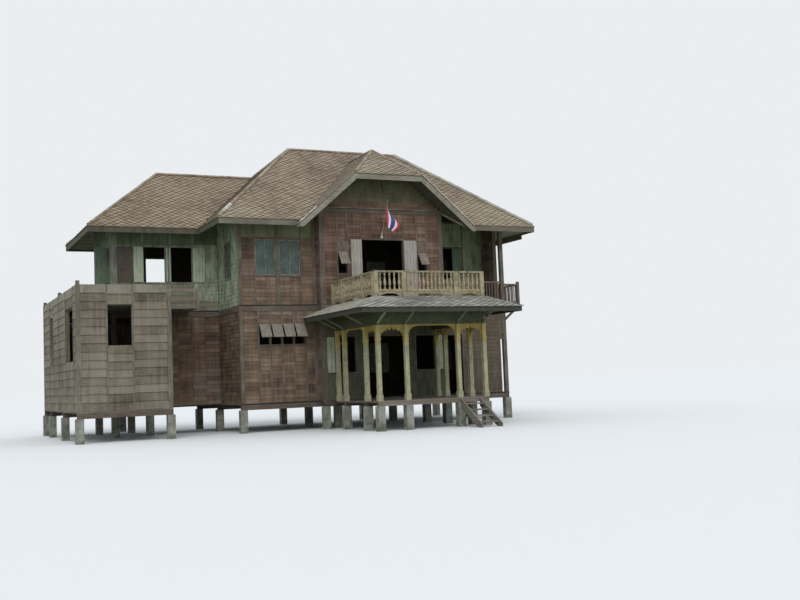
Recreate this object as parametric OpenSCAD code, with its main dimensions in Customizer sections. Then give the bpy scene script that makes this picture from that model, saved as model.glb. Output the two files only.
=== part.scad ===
// Two-storey timber stilt house: a hipped main block with a half-hipped gable bay over a
// porch with a balcony, a lower hipped wing on the left, and a flat-topped annex before it.
// Millimetres. +X runs to the right along the front, +Y to the back, +Z up. The origin is at
// ground level under the front left corner of the main block.

/* [Plan] */
// Width of the main block along the front
main_w = 11100; // [9500:100:13000]
// Depth of the main block
main_d = 6400; // [5600:100:8000]
// Width of the left wing
wing_w = 4000; // [3600:100:5000]
// Distance from the main front wall back to the wing's front wall
wing_set = 2700; // [2200:100:3000]
// Left edge of the gable bay
gable_x = 3000; // [2900:50:3400]
// Width of the gable bay
gable_w = 5130; // [4900:50:5400]
// How far the gable bay stands in front of the main wall
gable_out = 420; // [300:20:700]
// Depth of the recessed upper verandah at the right
verandah_d = 1500; // [1200:50:2000]
// Width of the annex before the wing
annex_w = 3150; // [2900:50:3400]
// How far the annex reaches left of the wing
annex_left = 1750; // [1400:50:2200]
// How far the annex stands in front of the main wall
annex_front = 700; // [400:50:1200]
// How far the annex reaches behind the house
annex_back = 1880; // [1200:50:2400]

/* [Heights] */
// Ground to the top of the ground floor
floor_z = 1050; // [800:25:1400]
// Ground to the top of the upper floor
upper_z = 4600; // [4400:25:5000]
// Ground to the tile edge at the eaves
eave_z = 7630; // [7500:10:8000]
// Sill of the upper windows above the upper floor
sill_up = 1080; // [900:20:1200]
// Head of the upper doors and windows above the upper floor
head_up = 2400; // [2250:10:2450]
// Head of the ground floor doors and windows above the ground floor
door_up = 2300; // [2100:10:2400]
// Height of the low windows with the flaps
flap_h = 720; // [600:20:800]
// Top of the boarded parapet of the annex above the ground
parapet_z = 5255; // [5000:20:5500]

/* [Timber] */
// Side of a main post
post = 150; // [120:5:180]
// Side of a window stud
stud = 60; // [50:5:80]
// Height of a sill or head rail
rail_h = 60; // [50:5:90]
// Thickness of the wall boarding
board_t = 40; // [30:2:60]
// How far the boarding lies behind the face of the posts
inset = 30; // [10:5:60]
// Depth of the floor beams
beam_h = 180; // [140:10:240]
// Thickness of the floor boards
deck_t = 50; // [40:5:70]
// Side of a pier under the floor
pier = 260; // [200:10:340]

/* [Roof] */
// Overhang of the main eaves beyond the walls
eave_over = 920; // [700:20:1000]
// Pitch of the main roof in degrees
main_pitch = 40.27; // [36:0.5:44]
// Pitch of the wing roof in degrees
wing_pitch = 42.1; // [38:0.5:45]
// Pitch of the wing's hip end in degrees
wing_end_pitch = 39.2; // [36:0.5:44]
// Pitch of the gable bay's roof in degrees
gable_pitch = 41.1; // [38:0.5:43]
// Height of the gable bay's ridge
gable_ridge_z = 10570; // [10300:10:10800]
// Height of the short eave that clips the gable
clip_z = 9390; // [9100:10:9700]
// Pitch of the clipped end in degrees
clip_pitch = 38.4; // [35:0.5:44]
// Overhang of the rakes in front of the gable wall
rake_over = 820; // [600:20:950]
// Upright thickness of the tiles and battens
roof_t = 150; // [110:5:180]
// Depth of the fascia boards at the eaves
fascia_h = 190; // [150:10:240]
// Depth of the barge boards on the rakes
barge_h = 220; // [180:10:280]
// Thickness of the fascia and barge boards
fascia_t = 30; // [22:2:45]

/* [Porch] */
// Width of the balcony deck over the porch
bal_w = 4245; // [3900:15:4500]
// How far the porch stands to the left of the middle of the gable
porch_left = 65; // [0:5:150]
// Depth of the balcony deck from the gable wall
bal_d = 3980; // [3600:20:4200]
// Ground to the top of the balcony deck
bal_z = 4490; // [4400:10:4560]
// Height of the balustrade
rail_top = 895; // [800:5:1000]
// Height of the arched apron boards at the foot of the balustrade
apron_h = 200; // [150:10:240]
// Overhang of the skirt roof beyond the deck
skirt_over = 905; // [700:5:1000]
// Fall of the skirt roof from the deck to its eave
skirt_fall = 390; // [300:10:450]
// Side of a porch column
col = 140; // [110:5:170]
// Width of the narrow end bays of the porch
end_bay = 1040; // [900:10:1150]
// Depth of the first side bay behind the front columns
side_bay = 1020; // [900:10:1150]
// Depth of the last side bay next to the wall
wall_bay = 670; // [600:10:800]
// Depth of the frieze boards over the columns
frieze_h = 840; // [700:20:1000]
// Going of a front step
step_run = 300; // [260:10:340]
// Width of the front steps
step_w = 820; // [700:20:900]
// How far the fretwork hangs below the frieze
fret_drop = 420; // [360:10:480]

/* [Hidden] */
gap = 3;                                    // open joint between neighbouring timbers
under_z = upper_z - deck_t;                 // underside of the upper floor boards
lower_top = under_z - beam_h;               // top of the lower posts
main_t = tan(main_pitch);
gable_t = tan(gable_pitch);
clip_t = tan(clip_pitch);
plate_h = 150;                              // height of the wall plate
plate_top = eave_z + eave_over * main_t - roof_t;
wall_top = plate_top - plate_h;             // top of the upper posts
wing_plate = plate_h - eave_over * (main_t - tan(wing_end_pitch));
wing_d = main_d - wing_set;
half_d = main_d / 2 + eave_over;            // run of the main slopes
main_ridge = eave_z + half_d * main_t;
wing_run = wing_d / 2 + eave_over;
wing_ridge = eave_z + wing_run * tan(wing_pitch);
wing_end_run = (wing_ridge - eave_z) / tan(wing_end_pitch);
gable_mid = gable_x + gable_w / 2;
rake_y = -gable_out - rake_over;            // front plane of the rakes
rake_half = (gable_ridge_z - eave_z) / gable_t;
rake_tail = 200;                            // how far the rakes run on past the eaves
clip_half = (gable_ridge_z - clip_z) / gable_t;
belt_top = gable_ridge_z - roof_t - gable_w / 2 * gable_t;
belt_z = belt_top - 180;                    // underside of the belt board of the gable
annex_x = -wing_w - annex_left;
annex_r = annex_x + annex_w;
annex_y1 = main_d + annex_back;
annex_d = annex_y1 + annex_front;
terrace_z = upper_z;                        // top of the terrace deck behind the parapet
verandah_x = gable_x + gable_w;
bal_x = gable_mid - porch_left - bal_w / 2;
bal_y = -gable_out - bal_d;
skirt_z = bal_z - skirt_fall;               // tile edge of the skirt roof
skirt_t = 90;                               // upright thickness of the skirt roof
skirt_slope = skirt_fall / skirt_over;
col_in = 85;                                // from the deck's edge to a column's centre line
col_x = [bal_x + col_in, bal_x + col_in + end_bay,
         bal_x + bal_w - col_in - end_bay, bal_x + bal_w - col_in];
col_y = [bal_y + col_in, bal_y + col_in + side_bay,
         -gable_out - wall_bay - 300, -gable_out - 300];
deck_beam = 100;                            // thickness of the balcony deck
frieze_t = 50;                              // thickness of the frieze boards
frieze_top = bal_z - deck_beam;
frieze_z = frieze_top - frieze_h;           // underside of the frieze
porch_z = floor_z - 50;                     // top of the porch floor
sill_z = upper_z + sill_up;
head_z = upper_z + head_up;
door_low = floor_z + door_up;
flap_drop = 500;                            // from the beams down to the flap windows
flap_top = lower_top - flap_drop;
flap_sill = flap_top - flap_h;
slit_panel = 500;                           // fixed panel over a narrow gable window
landing_x = 1300;                           // reach of the side landing from the wall
landing_y = [950, 2650];                    // front and back of the side landing
wood = "#6b4a3e";
grey_wood = "#7b7168";
green_wood = "#6f7f68";
cream = "#c9b98a";

// A wall is drawn in its own frame: X along the wall, Y inwards from its outer face.
// Each of these puts such a wall in its place.
module front_at(x, y) { translate([x, y, 0]) children(); }
module back_at(x, y) { translate([x, y, 0]) mirror([0, 1, 0]) children(); }
module left_at(x, y) { translate([x, y, 0]) mirror([1, 0, 0]) rotate([0, 0, 90]) children(); }
module right_at(x, y) { translate([x, y, 0]) rotate([0, 0, 90]) children(); }

// Uprights of a wall, each [centre, width], standing from z0 to z1.
module uprights(ups, z0, z1)
    for (u = ups) translate([u[0] - u[1] / 2, 0, z0]) cube([u[1], post, z1 - z0]);

// Solid stretches of one bay, above and below its openings, each opening [low, high].
module boards(ups, bays, z0, z1)
    for (i = [0 : len(bays) - 1]) {
        x0 = ups[i][0] + ups[i][1] / 2;
        x1 = ups[i + 1][0] - ups[i + 1][1] / 2;
        n = len(bays[i]);
        for (k = [0 : n]) {
            low = k == 0 ? z0 : bays[i][k - 1][1] + rail_h;
            high = k == n ? z1 : bays[i][k][0] - rail_h;
            if (high > low + 10)
                translate([x0, inset, low]) cube([x1 - x0, board_t, high - low]);
        }
    }

// Sill and head rails of the openings of a wall.
module rails(ups, bays, z0, z1)
    for (i = [0 : len(bays) - 1]) {
        x0 = ups[i][0] + ups[i][1] / 2;
        x1 = ups[i + 1][0] - ups[i + 1][1] / 2;
        for (o = bays[i]) {
            if (o[0] > z0 + rail_h)
                translate([x0, 0, o[0] - rail_h]) cube([x1 - x0, post - 20, rail_h]);
            if (o[1] < z1 - rail_h)
                translate([x0, 0, o[1]]) cube([x1 - x0, post - 20, rail_h]);
        }
    }

shut = [];
upper_win = [[sill_z, head_z]];
upper_door = [[upper_z, head_z]];
low_sill_up = 1000;
lower_win = [[floor_z + low_sill_up, door_low]];
lower_door = [[floor_z, door_low]];

// Lower storey, wall by wall: uprights, then one list of openings for each bay between them.
flap_w = 390;
flap_x = 700;
low_left_ups = concat([[post / 2, post]],
    [for (i = [0 : 4]) [flap_x + i * (flap_w + stud), stud]], [[gable_x - post / 2, post]]);
low_left_bays = concat([shut], [for (i = [0 : 3]) [[flap_sill, flap_top]]], [shut]);
low_win_x = 480;
low_win_w = 870;
low_door_x = 1700;
low_gable_ups = [[post / 2, post], [low_win_x, stud], [low_win_x + low_win_w, stud],
    [low_door_x, stud], [gable_w - low_door_x, stud],
    [gable_w - low_win_x - low_win_w, stud], [gable_w - low_win_x, stud],
    [gable_w - post / 2, post]];
low_gable_bays = [shut, lower_win, shut, lower_door, shut, lower_win, shut];
low_right_w = main_w - verandah_x;
low_right_ups = [[250, stud], [950, stud], [low_right_w - 330, stud],
    [low_right_w - post / 2, post]];
low_right_bays = [lower_door, shut, [[floor_z, flap_sill]]];
plain_w = 1000;                             // from stud to stud at the back and side openings
low_back_ups = [[post / 2, post], [main_w * 0.15, stud], [main_w * 0.15 + plain_w, stud],
    [main_w * 0.42, post], [main_w * 0.42 + plain_w, stud], [main_w * 0.7, stud],
    [main_w * 0.7 + plain_w, stud], [main_w - post / 2, post]];
low_back_bays = [shut, lower_win, shut, lower_door, shut, lower_win, shut];
low_side_ups = [[550, stud], [main_d * 0.35, stud], [main_d * 0.35 + plain_w, stud],
    [main_d * 0.7, stud], [main_d * 0.7 + plain_w, stud], [main_d - post / 2, post]];
low_side_bays = [shut, lower_win, shut, lower_win, shut];

// Upper storey, in the same way.
glazed_x = 630;
glazed_w = 740;
glazed_play = 90;                           // extra width of the second window's frame
up_left_ups = [[post / 2, post], [glazed_x, stud],
    [glazed_x + glazed_w + stud * 2, stud * 2.5],
    [glazed_x + 2 * glazed_w + stud * 3.5 + glazed_play, stud], [gable_x - post / 2, post]];
up_left_bays = [shut, upper_win, upper_win, shut];
slit = [[sill_z + 50, head_z - slit_panel]];
gable_door = 1710;
left_leaf_w = 430;
right_leaf_w = 530;
slit_flap_h = 560;
slit_w = 360;
slit_x = 700;
up_gable_ups = [[100, 200], [slit_x, stud], [slit_x + slit_w + stud, stud],
    [gable_w / 2 - gable_door / 2 - stud / 2, stud],
    [gable_w / 2 + gable_door / 2 + stud / 2, stud],
    [gable_w - slit_x - slit_w - stud, stud], [gable_w - slit_x, stud],
    [gable_w - 100, 200]];
up_gable_bays = [shut, slit, shut, upper_door, shut, slit, shut];
recess_w = main_w - verandah_x;
recess_ups = [[50, 100], [recess_w * 0.21, stud], [recess_w * 0.65, stud],
    [recess_w - post / 2, post]];
recess_bays = [shut, upper_door, shut];
up_back_ups = low_back_ups;
up_back_bays = [shut, upper_win, shut, upper_win, shut, upper_win, shut];
side_door_w = 840;
up_right_ups = [[550, stud], [verandah_d + post / 2, post],
    [verandah_d + post + stud, stud], [verandah_d + post + stud + side_door_w, stud],
    [main_d * 0.7, stud], [main_d * 0.7 + plain_w, stud], [main_d - post / 2, post]];
up_right_bays = [shut, shut, upper_door, shut, upper_win, shut];
up_left_side_ups = [[post / 2, post], [890, stud], [1750, stud], [wing_set + post / 2, post]];
up_left_side_bays = [shut, upper_win, shut];
wing_ups = [[post / 2, post], [190, stud], [820, stud], [1170, stud], [2030, stud],
    [2190, stud], [3050, stud], [wing_w, 0]];
wing_bays = [shut, upper_win, shut, upper_win, shut, upper_win, shut];
wing_back_ups = [[post / 2, post], [1990, stud], [2930, stud], [wing_w, 0]];
wing_back_bays = [shut, upper_win, shut];
wing_side_ups = [[post / 2, post], [380, stud], [1330, stud], [wing_d - post / 2, post]];
wing_side_bays = [shut, upper_win, shut];

// Annex: uprights and openings of its boarded walls.
annex_front_ups = [[post / 2, post], [990, stud], [1850, stud], [annex_w - post / 2, post]];
annex_front_bays = [shut, [[3270, 4520]], shut];
annex_side_ups = [[post / 2, post], [740, stud], [2610, stud], [annex_d / 2, post],
    [annex_d * 0.667, stud], [annex_d * 0.767, stud], [annex_d - post / 2, post]];
annex_side_bays = [shut, [[2800, 4520]], shut, shut, [[2800, 4520]], shut];

// Piers stand on the ground under each post line and carry the floor beams.
pier_top = floor_z - deck_t - beam_h;
pier_x = [post / 2, main_w / 3, main_w * 2 / 3, main_w - post / 2];
pier_y = [post / 2, main_d / 2, main_d - post / 2];
annex_pier_x = [annex_x + post / 2, annex_r - post / 2];
annex_pier_y = [-annex_front + post / 2, wing_set + post / 2, main_d - post / 2,
    annex_y1 - post / 2];
module pier_at(x, y, top)
    translate([x - pier / 2, y - pier / 2, 0]) cube([pier, pier, top]);

module piers() {
    color("#8d8a80") {
        for (x = pier_x, y = pier_y) pier_at(x, y, pier_top);
        for (x = annex_pier_x, y = annex_pier_y) pier_at(x, y, pier_top);
        for (x = [gable_x + post / 2, verandah_x - post / 2])
            pier_at(x, -gable_out + post / 2, pier_top);
        for (y = [wing_set + post / 2, main_d - post / 2]) pier_at(-wing_w + post / 2, y, pier_top);
        for (x = col_x) pier_at(x, col_y[0], porch_z - deck_t - 120);
        for (x = [col_x[0], col_x[3]], y = [col_y[1], col_y[2]])
            pier_at(x, y, porch_z - deck_t - 120);
    }
}

// Ground floor beams run along the front, middle and back of each block.
module beam(x0, x1, y, z) translate([x0, y, z]) cube([x1 - x0, post, beam_h]);
module floor_beams() {
    color(wood) {
        for (y = [0, main_d / 2 - post / 2, main_d - post]) beam(0, main_w, y, pier_top);
        for (y = annex_pier_y) beam(annex_x, annex_r, y - post / 2, pier_top);
        beam(gable_x, verandah_x, -gable_out, pier_top);
    }
}

// Footprint of the house on the ground floor, for the boards that lie on the beams.
module ground_plan() {
    square([main_w, main_d]);
    translate([gable_x, -gable_out]) square([gable_w, gable_out + 1]);
    translate([annex_x, -annex_front]) square([annex_w, annex_d]);
    translate([annex_r - 1, wing_set]) square([-annex_r + 2, wing_d]);
}
module ground_floor() {
    color(grey_wood) translate([0, 0, floor_z - deck_t])
        linear_extrude(deck_t) ground_plan();
}

module lower_posts() {
    color(wood) {
        front_at(0, 0) uprights(low_left_ups, floor_z, lower_top);
        front_at(gable_x, -gable_out) uprights(low_gable_ups, floor_z, lower_top);
        front_at(verandah_x, 0) uprights(low_right_ups, floor_z, lower_top);
        back_at(0, main_d) uprights(low_back_ups, floor_z, lower_top);
        right_at(main_w, 0) uprights([for (i = [0 : 4]) low_side_ups[i]], floor_z, lower_top);
        front_at(0, wing_set) uprights([[post / 2, post]], floor_z, lower_top);
        // Posts inside the annex carry the outer corners of the wing
        front_at(-wing_w, wing_set) uprights([[post / 2, post]], floor_z, lower_top);
        back_at(-wing_w, main_d) uprights([[post / 2, post]], floor_z, lower_top);
    }
}

module lower_rails() {
    color(wood) {
        front_at(0, 0) rails(low_left_ups, low_left_bays, floor_z, lower_top);
        front_at(gable_x, -gable_out) rails(low_gable_ups, low_gable_bays, floor_z, lower_top);
        front_at(verandah_x, 0) rails(low_right_ups, low_right_bays, floor_z, lower_top);
        back_at(0, main_d) rails(low_back_ups, low_back_bays, floor_z, lower_top);
        right_at(main_w, 0) rails(low_side_ups, low_side_bays, floor_z, lower_top);
    }
}

module lower_front_wall() {
    color(wood) {
        front_at(0, 0) boards(low_left_ups, low_left_bays, floor_z, lower_top);
        front_at(gable_x, -gable_out) boards(low_gable_ups, low_gable_bays,
            floor_z, lower_top);
        front_at(verandah_x, 0) boards(concat([[0, 0]], low_right_ups),
            concat([shut], low_right_bays), floor_z, lower_top);
    }
}

// A side wall of the gable bay, the left one for s = 0 and the right one for s = 1, flush
// with the corner and running back to the given depth behind the main front.
module cheek(s, z0, z1, back)
    translate([gable_x + s * (gable_w - board_t), -gable_out + post, z0])
        cube([board_t, gable_out - post + back, z1 - z0]);

module lower_side_walls() {
    color(wood) {
        right_at(main_w, 0) boards(low_side_ups, low_side_bays, floor_z, lower_top);
        left_at(0, post) boards([[0, 0], [wing_set - post, 0]], [shut], floor_z, lower_top);
        for (s = [0, 1]) cheek(s, floor_z, lower_top, post);
    }
}

module lower_back_wall() {
    color(wood) {
        back_at(0, main_d) boards(low_back_ups, low_back_bays, floor_z, lower_top);
        back_at(annex_r, main_d) boards([[-inset, 0], [-annex_r, 0]], [shut],
            floor_z, lower_top);
        front_at(annex_r, wing_set) boards([[-inset, 0], [-annex_r, 0]], [shut],
            floor_z, lower_top);
    }
}

// Annex posts rise above the parapet and end in small square caps.
module finial(x, y)
    translate([x - 60, y - 60, parapet_z]) cube([120, 120, 130]);
module annex_posts() {
    color(grey_wood) {
        front_at(annex_x, -annex_front) uprights(annex_front_ups, floor_z, parapet_z);
        back_at(annex_x, annex_y1) uprights([annex_front_ups[0], annex_front_ups[3]],
            floor_z, parapet_z);
        left_at(annex_x, -annex_front)
            uprights([for (i = [1 : 5]) annex_side_ups[i]], floor_z, parapet_z);
        for (y = [-annex_front + post / 2, annex_y1 - post / 2, annex_d / 2 - annex_front])
            finial(annex_x + post / 2, y);
    }
}

module annex_walls() {
    color(grey_wood) {
        front_at(annex_x, -annex_front) boards(annex_front_ups, annex_front_bays,
            floor_z, parapet_z);
        left_at(annex_x, -annex_front) boards(annex_side_ups, annex_side_bays,
            floor_z, parapet_z);
        back_at(annex_x, annex_y1) boards([annex_front_ups[0], annex_front_ups[3]],
            [shut], floor_z, parapet_z);
        right_at(annex_r, -annex_front + post)
            boards([[0, 0], [annex_front + wing_set - post, 0]], [shut], floor_z, parapet_z);
        right_at(annex_r, main_d - inset)
            boards([[0, 0], [annex_back - post + inset, 0]], [shut], floor_z, parapet_z);
    }
}

// The terrace deck closes the annex round the wing, between its boarded walls, and a short
// step of it lies between the annex and the main block, with a low rail on one post.
step_x = 1435;
step_y = 1760;
step_post = 90;
step_post_h = 700;
step_bars = [560, 240];                     // heights of the two bars over the deck
step_bar = [40, 110];
module terrace_deck() {
    edge = inset + board_t;
    color(grey_wood) {
        translate([0, 0, terrace_z - deck_t]) linear_extrude(deck_t) {
            difference() {
                translate([annex_x + post, -annex_front + post])
                    square([annex_w - post - edge, annex_d - 2 * post]);
                translate([-wing_w, wing_set]) square([wing_w, wing_d]);
            }
            translate([annex_r - inset, wing_set - step_y]) square([step_x, step_y]);
        }
        translate([annex_r - inset, wing_set - step_y, terrace_z]) {
            translate([step_x - step_post, 0, 0]) cube([step_post, step_post, step_post_h]);
            for (z = step_bars)
                translate([0, 20, z]) cube([step_x - step_post, step_bar[0], step_bar[1]]);
        }
    }
}

// Plan of the upper storey; the verandah is open but has the same floor.
module upper_plan() {
    square([main_w, main_d]);
    translate([gable_x, -gable_out]) square([gable_w, gable_out + 1]);
    translate([-wing_w, wing_set]) square([wing_w + 1, wing_d]);
}
module upper_beams() {
    color(wood) {
        beam(0, gable_x - gap, 0, lower_top);
        beam(gable_x, verandah_x, -gable_out, lower_top);
        beam(verandah_x + gap, main_w, 0, lower_top);
        for (y = [main_d / 2 - post / 2, main_d - post]) beam(0, main_w, y, lower_top);
        beam(-wing_w, -gap, wing_set, lower_top);
        beam(-wing_w, -gap, main_d - post, lower_top);
        for (x = [0, main_w - post], y = [post + gap, main_d / 2 + post / 2 + gap])
            translate([x, y, lower_top])
                cube([post, main_d / 2 - post * 1.5 - 2 * gap, beam_h]);
        translate([-wing_w, wing_set + post + gap, lower_top])
            cube([post, wing_d - 2 * post - 2 * gap, beam_h]);
        for (s = [0, 1]) cheek(s, lower_top, under_z, post);
    }
}
module upper_floor() {
    color(grey_wood) translate([0, 0, under_z]) linear_extrude(deck_t) upper_plan();
}

module upper_posts() {
    color(wood) {
        front_at(0, 0) uprights(up_left_ups, upper_z, wall_top);
        front_at(gable_x, -gable_out) uprights(up_gable_ups, upper_z, belt_z);
        front_at(verandah_x, verandah_d) uprights(recess_ups, upper_z, wall_top);
        front_at(verandah_x, 0) uprights([[recess_w - post / 2, post]], upper_z, wall_top);
        back_at(0, main_d) uprights(up_back_ups, upper_z, wall_top);
        right_at(main_w, 0) uprights([for (i = [0 : 5]) up_right_ups[i]], upper_z, wall_top);
        left_at(0, 0) uprights([up_left_side_ups[1], up_left_side_ups[2]], upper_z, wall_top);
        front_at(-wing_w, wing_set) uprights([for (i = [0 : 6]) wing_ups[i]],
            upper_z, wall_top);
        front_at(0, wing_set) uprights([[post / 2, post]], upper_z, wall_top);
        back_at(-wing_w, main_d) uprights([for (i = [0 : 2]) wing_back_ups[i]],
            upper_z, wall_top);
        left_at(-wing_w, wing_set) uprights([wing_side_ups[1], wing_side_ups[2]],
            upper_z, wall_top);
    }
}

module upper_rails() {
    color(wood) {
        front_at(0, 0) rails(up_left_ups, up_left_bays, upper_z, wall_top);
        front_at(gable_x, -gable_out) rails(up_gable_ups, up_gable_bays, upper_z, belt_z);
        front_at(verandah_x, verandah_d) rails(recess_ups, recess_bays, upper_z, wall_top);
        back_at(0, main_d) rails(up_back_ups, up_back_bays, upper_z, wall_top);
        right_at(main_w, 0) rails(up_right_ups, up_right_bays, upper_z, wall_top);
        left_at(0, 0) rails(up_left_side_ups, up_left_side_bays, upper_z, wall_top);
        front_at(-wing_w, wing_set) rails(wing_ups, wing_bays, upper_z, wall_top);
        back_at(-wing_w, main_d) rails(wing_back_ups, wing_back_bays, upper_z, wall_top);
        left_at(-wing_w, wing_set) rails(wing_side_ups, wing_side_bays, upper_z, wall_top);
    }
}

// Wall plates tie the post heads together under the roof; the belt board is the
// plate of the gable bay.
module plate(x, y, dx, dy) translate([x, y, wall_top]) cube([dx, dy, plate_h]);
module wall_plates() {
    color(wood) {
        plate(0, 0, gable_x - gap, post);
        plate(verandah_x + gap, 0, main_w - verandah_x - gap, post);
        plate(0, main_d - post, main_w, post);
        plate(main_w - post, post + gap, post, main_d - 2 * post - 2 * gap);
        plate(0, post + gap, post, wing_set - post - 2 * gap);
        // The wing's end slope is flatter, so its plates are as low as the end plate there
        for (y = [wing_set, main_d - post]) translate([-wing_w, y, wall_top])
            cube([wing_w - gap, post, wing_plate]);
        translate([-wing_w, wing_set + post + gap, wall_top])
            cube([post, wing_d - 2 * post - 2 * gap, wing_plate]);
        translate([gable_x, -gable_out, belt_z]) cube([gable_w, post, belt_top - belt_z]);
    }
}

module upper_front_wall() {
    color(wood) {
        front_at(0, 0) boards(up_left_ups, up_left_bays, upper_z, wall_top);
        front_at(verandah_x, verandah_d) boards(recess_ups, recess_bays, upper_z, wall_top);
    }
}

// The gable wall ends in a peak that follows the rakes and is cut off under the clip.
module gable_wall() {
    under = gable_ridge_z - roof_t;
    top = clip_z - roof_t + (rake_over + inset) * clip_t;
    low = (under - belt_top) / gable_t;
    high = (under - top) / gable_t;
    color(wood) {
        front_at(gable_x, -gable_out) boards(up_gable_ups, up_gable_bays, upper_z, belt_z);
        translate([gable_mid, -gable_out + inset + board_t, 0]) rotate([90, 0, 0])
            linear_extrude(board_t)
                polygon([[-low, belt_top], [low, belt_top], [high, top], [-high, top]]);
        cheek(0, upper_z, belt_z, post);
        // The right one runs on back along the verandah
        cheek(1, upper_z, belt_z, verandah_d + post);
    }
}

module wing_walls() {
    color(green_wood) {
        front_at(-wing_w, wing_set) boards(wing_ups, wing_bays, upper_z, wall_top);
        back_at(-wing_w, main_d) boards(wing_back_ups, wing_back_bays, upper_z, wall_top);
        left_at(-wing_w, wing_set) boards(wing_side_ups, wing_side_bays, upper_z, wall_top);
    }
}
module upper_side_walls() {
    color(wood) {
        right_at(main_w, 0) boards(up_right_ups, up_right_bays, upper_z, wall_top);
        left_at(0, 0) boards(up_left_side_ups, up_left_side_bays, upper_z, wall_top);
    }
}
module upper_back_wall() {
    color(wood) back_at(0, main_d) boards(up_back_ups, up_back_bays, upper_z, wall_top);
}

// Thin panes behind the bars of the glazed windows.
pane_t = 12;
module pane(ups, i)
    let (x0 = ups[i][0] + ups[i][1] / 2, x1 = ups[i + 1][0] - ups[i + 1][1] / 2)
        translate([x0, 60, sill_z]) cube([x1 - x0, pane_t, head_z - sill_z]);
module window_glass() {
    color("#7f97a0") {
        front_at(0, 0) { pane(up_left_ups, 1); pane(up_left_ups, 2); }
        left_at(0, 0) pane(up_left_side_ups, 1);
    }
}

// Shutter leaves are plain battened boards, open flat against the wall unless they stand out.
leaf_t = 35;
module leaf(x, w, z0, z1) translate([x, -leaf_t, z0]) cube([w, leaf_t, z1 - z0]);
// A pair of leaves shut in each opening of a wall.
module shut_leaves(ups, bays)
    for (i = [0 : len(bays) - 1], o = bays[i]) {
        x0 = ups[i][0] + ups[i][1] / 2;
        half = (ups[i + 1][0] - ups[i + 1][1] / 2 - x0 - gap) / 2;
        for (x = [x0, x0 + half + gap])
            translate([x, inset, o[0]]) cube([half, leaf_t, o[1] - o[0]]);
    }
module window_shutters() {
    leaf_w = 290;                           // narrow leaves beside the lower gable windows
    door_leaf = (recess_ups[2][0] - recess_ups[1][0] - stud) * 0.35;
    color("#8b9a80") {
        front_at(-wing_w, wing_set) {
            leaf(wing_ups[1][0] + stud / 2, wing_ups[2][0] - wing_ups[1][0] - stud,
                sill_z, head_z);
            leaf(wing_ups[2][0] + 10, wing_ups[3][0] - wing_ups[2][0] - 10, sill_z, head_z);
            leaf(wing_ups[6][0], 450, sill_z, head_z);
        }
        translate([-wing_w - 480, wing_set + wing_side_ups[1][0] + stud / 2, sill_z])
            cube([480, leaf_t, head_z - sill_z]);
        front_at(verandah_x, verandah_d)
            translate([recess_ups[2][0] - stud / 2 - door_leaf, inset, upper_z])
                cube([door_leaf, leaf_t, head_z - upper_z]);
        front_at(gable_x, -gable_out) {
            leaf(low_gable_ups[1][0] - stud / 2 - leaf_w, leaf_w, floor_z + low_sill_up, door_low);
            leaf(low_gable_ups[6][0] + stud / 2, leaf_w, floor_z + low_sill_up, door_low);
        }
        // The back and the right side are shut
        back_at(0, main_d) {
            shut_leaves(low_back_ups, low_back_bays);
            shut_leaves(up_back_ups, up_back_bays);
        }
        right_at(main_w, 0) {
            shut_leaves(low_side_ups, low_side_bays);
            shut_leaves(up_right_ups, up_right_bays);
        }
    }
}
module gable_shutters() {
    color("#a8988c") front_at(gable_x, -gable_out) {
        leaf(up_gable_ups[3][0] - left_leaf_w, left_leaf_w, upper_z, head_z);
        leaf(up_gable_ups[4][0], right_leaf_w, upper_z, head_z);
        for (i = [1, 5])
            translate([up_gable_ups[i][0] + stud / 2, 0, head_z - slit_panel + rail_h])
                cube([slit_w, inset, slit_panel - 2 * rail_h]);
    }
}

// A flap hangs from the head of its opening and is pushed out at the foot.
module flap(x, w, z, h, angle)
    translate([x, -leaf_t * cos(angle), z + leaf_t * sin(angle) + 10])
        rotate([-angle, 0, 0]) translate([0, 0, -h]) cube([w, leaf_t, h]);
module awning_flaps() {
    color("#9a8f84") {
        front_at(0, 0) for (i = [0 : 3])
            flap(low_left_ups[i + 1][0] + stud / 2 + gap, flap_w - 2 * gap, flap_top,
                flap_h - 150, 32);
        front_at(gable_x, -gable_out) for (i = [1, 5])
            flap(up_gable_ups[i][0] + stud / 2 + gap, slit_w - 2 * gap,
                head_z - slit_panel, slit_flap_h, 32);
    }
}

// Porch floor on its own beams, level with the doors behind it.
module porch_floor() {
    color(grey_wood) {
        translate([bal_x, bal_y, porch_z - deck_t]) cube([bal_w, bal_d, deck_t]);
        for (y = [col_y[0] - post / 2, col_y[1] - post / 2, col_y[2] - post / 2])
            translate([bal_x, y, porch_z - deck_t - 120]) cube([bal_w, post, 120]);
    }
}

// Square columns with a plinth block and a moulded neck, turned in one profile.
module column(x, y) {
    h = frieze_z - porch_z;
    neck = fret_drop + 80;                  // from the neck mould to the frieze
    translate([x, y, porch_z]) {
        translate([-col / 2, -col / 2, 0]) cube([col, col, h]);
        translate([-col / 2 - 20, -col / 2 - 20, 0]) cube([col + 40, col + 40, 220]);
        for (z = [h - neck, h - 60])
            translate([-col / 2 - 15, -col / 2 - 15, z]) cube([col + 30, col + 30, 50]);
    }
}
module porch_columns() {
    color("#c7b36f") {
        for (x = col_x) column(x, col_y[0]);
        for (x = [col_x[0], col_x[3]], y = [col_y[1], col_y[2], col_y[3]]) column(x, y);
    }
}

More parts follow.
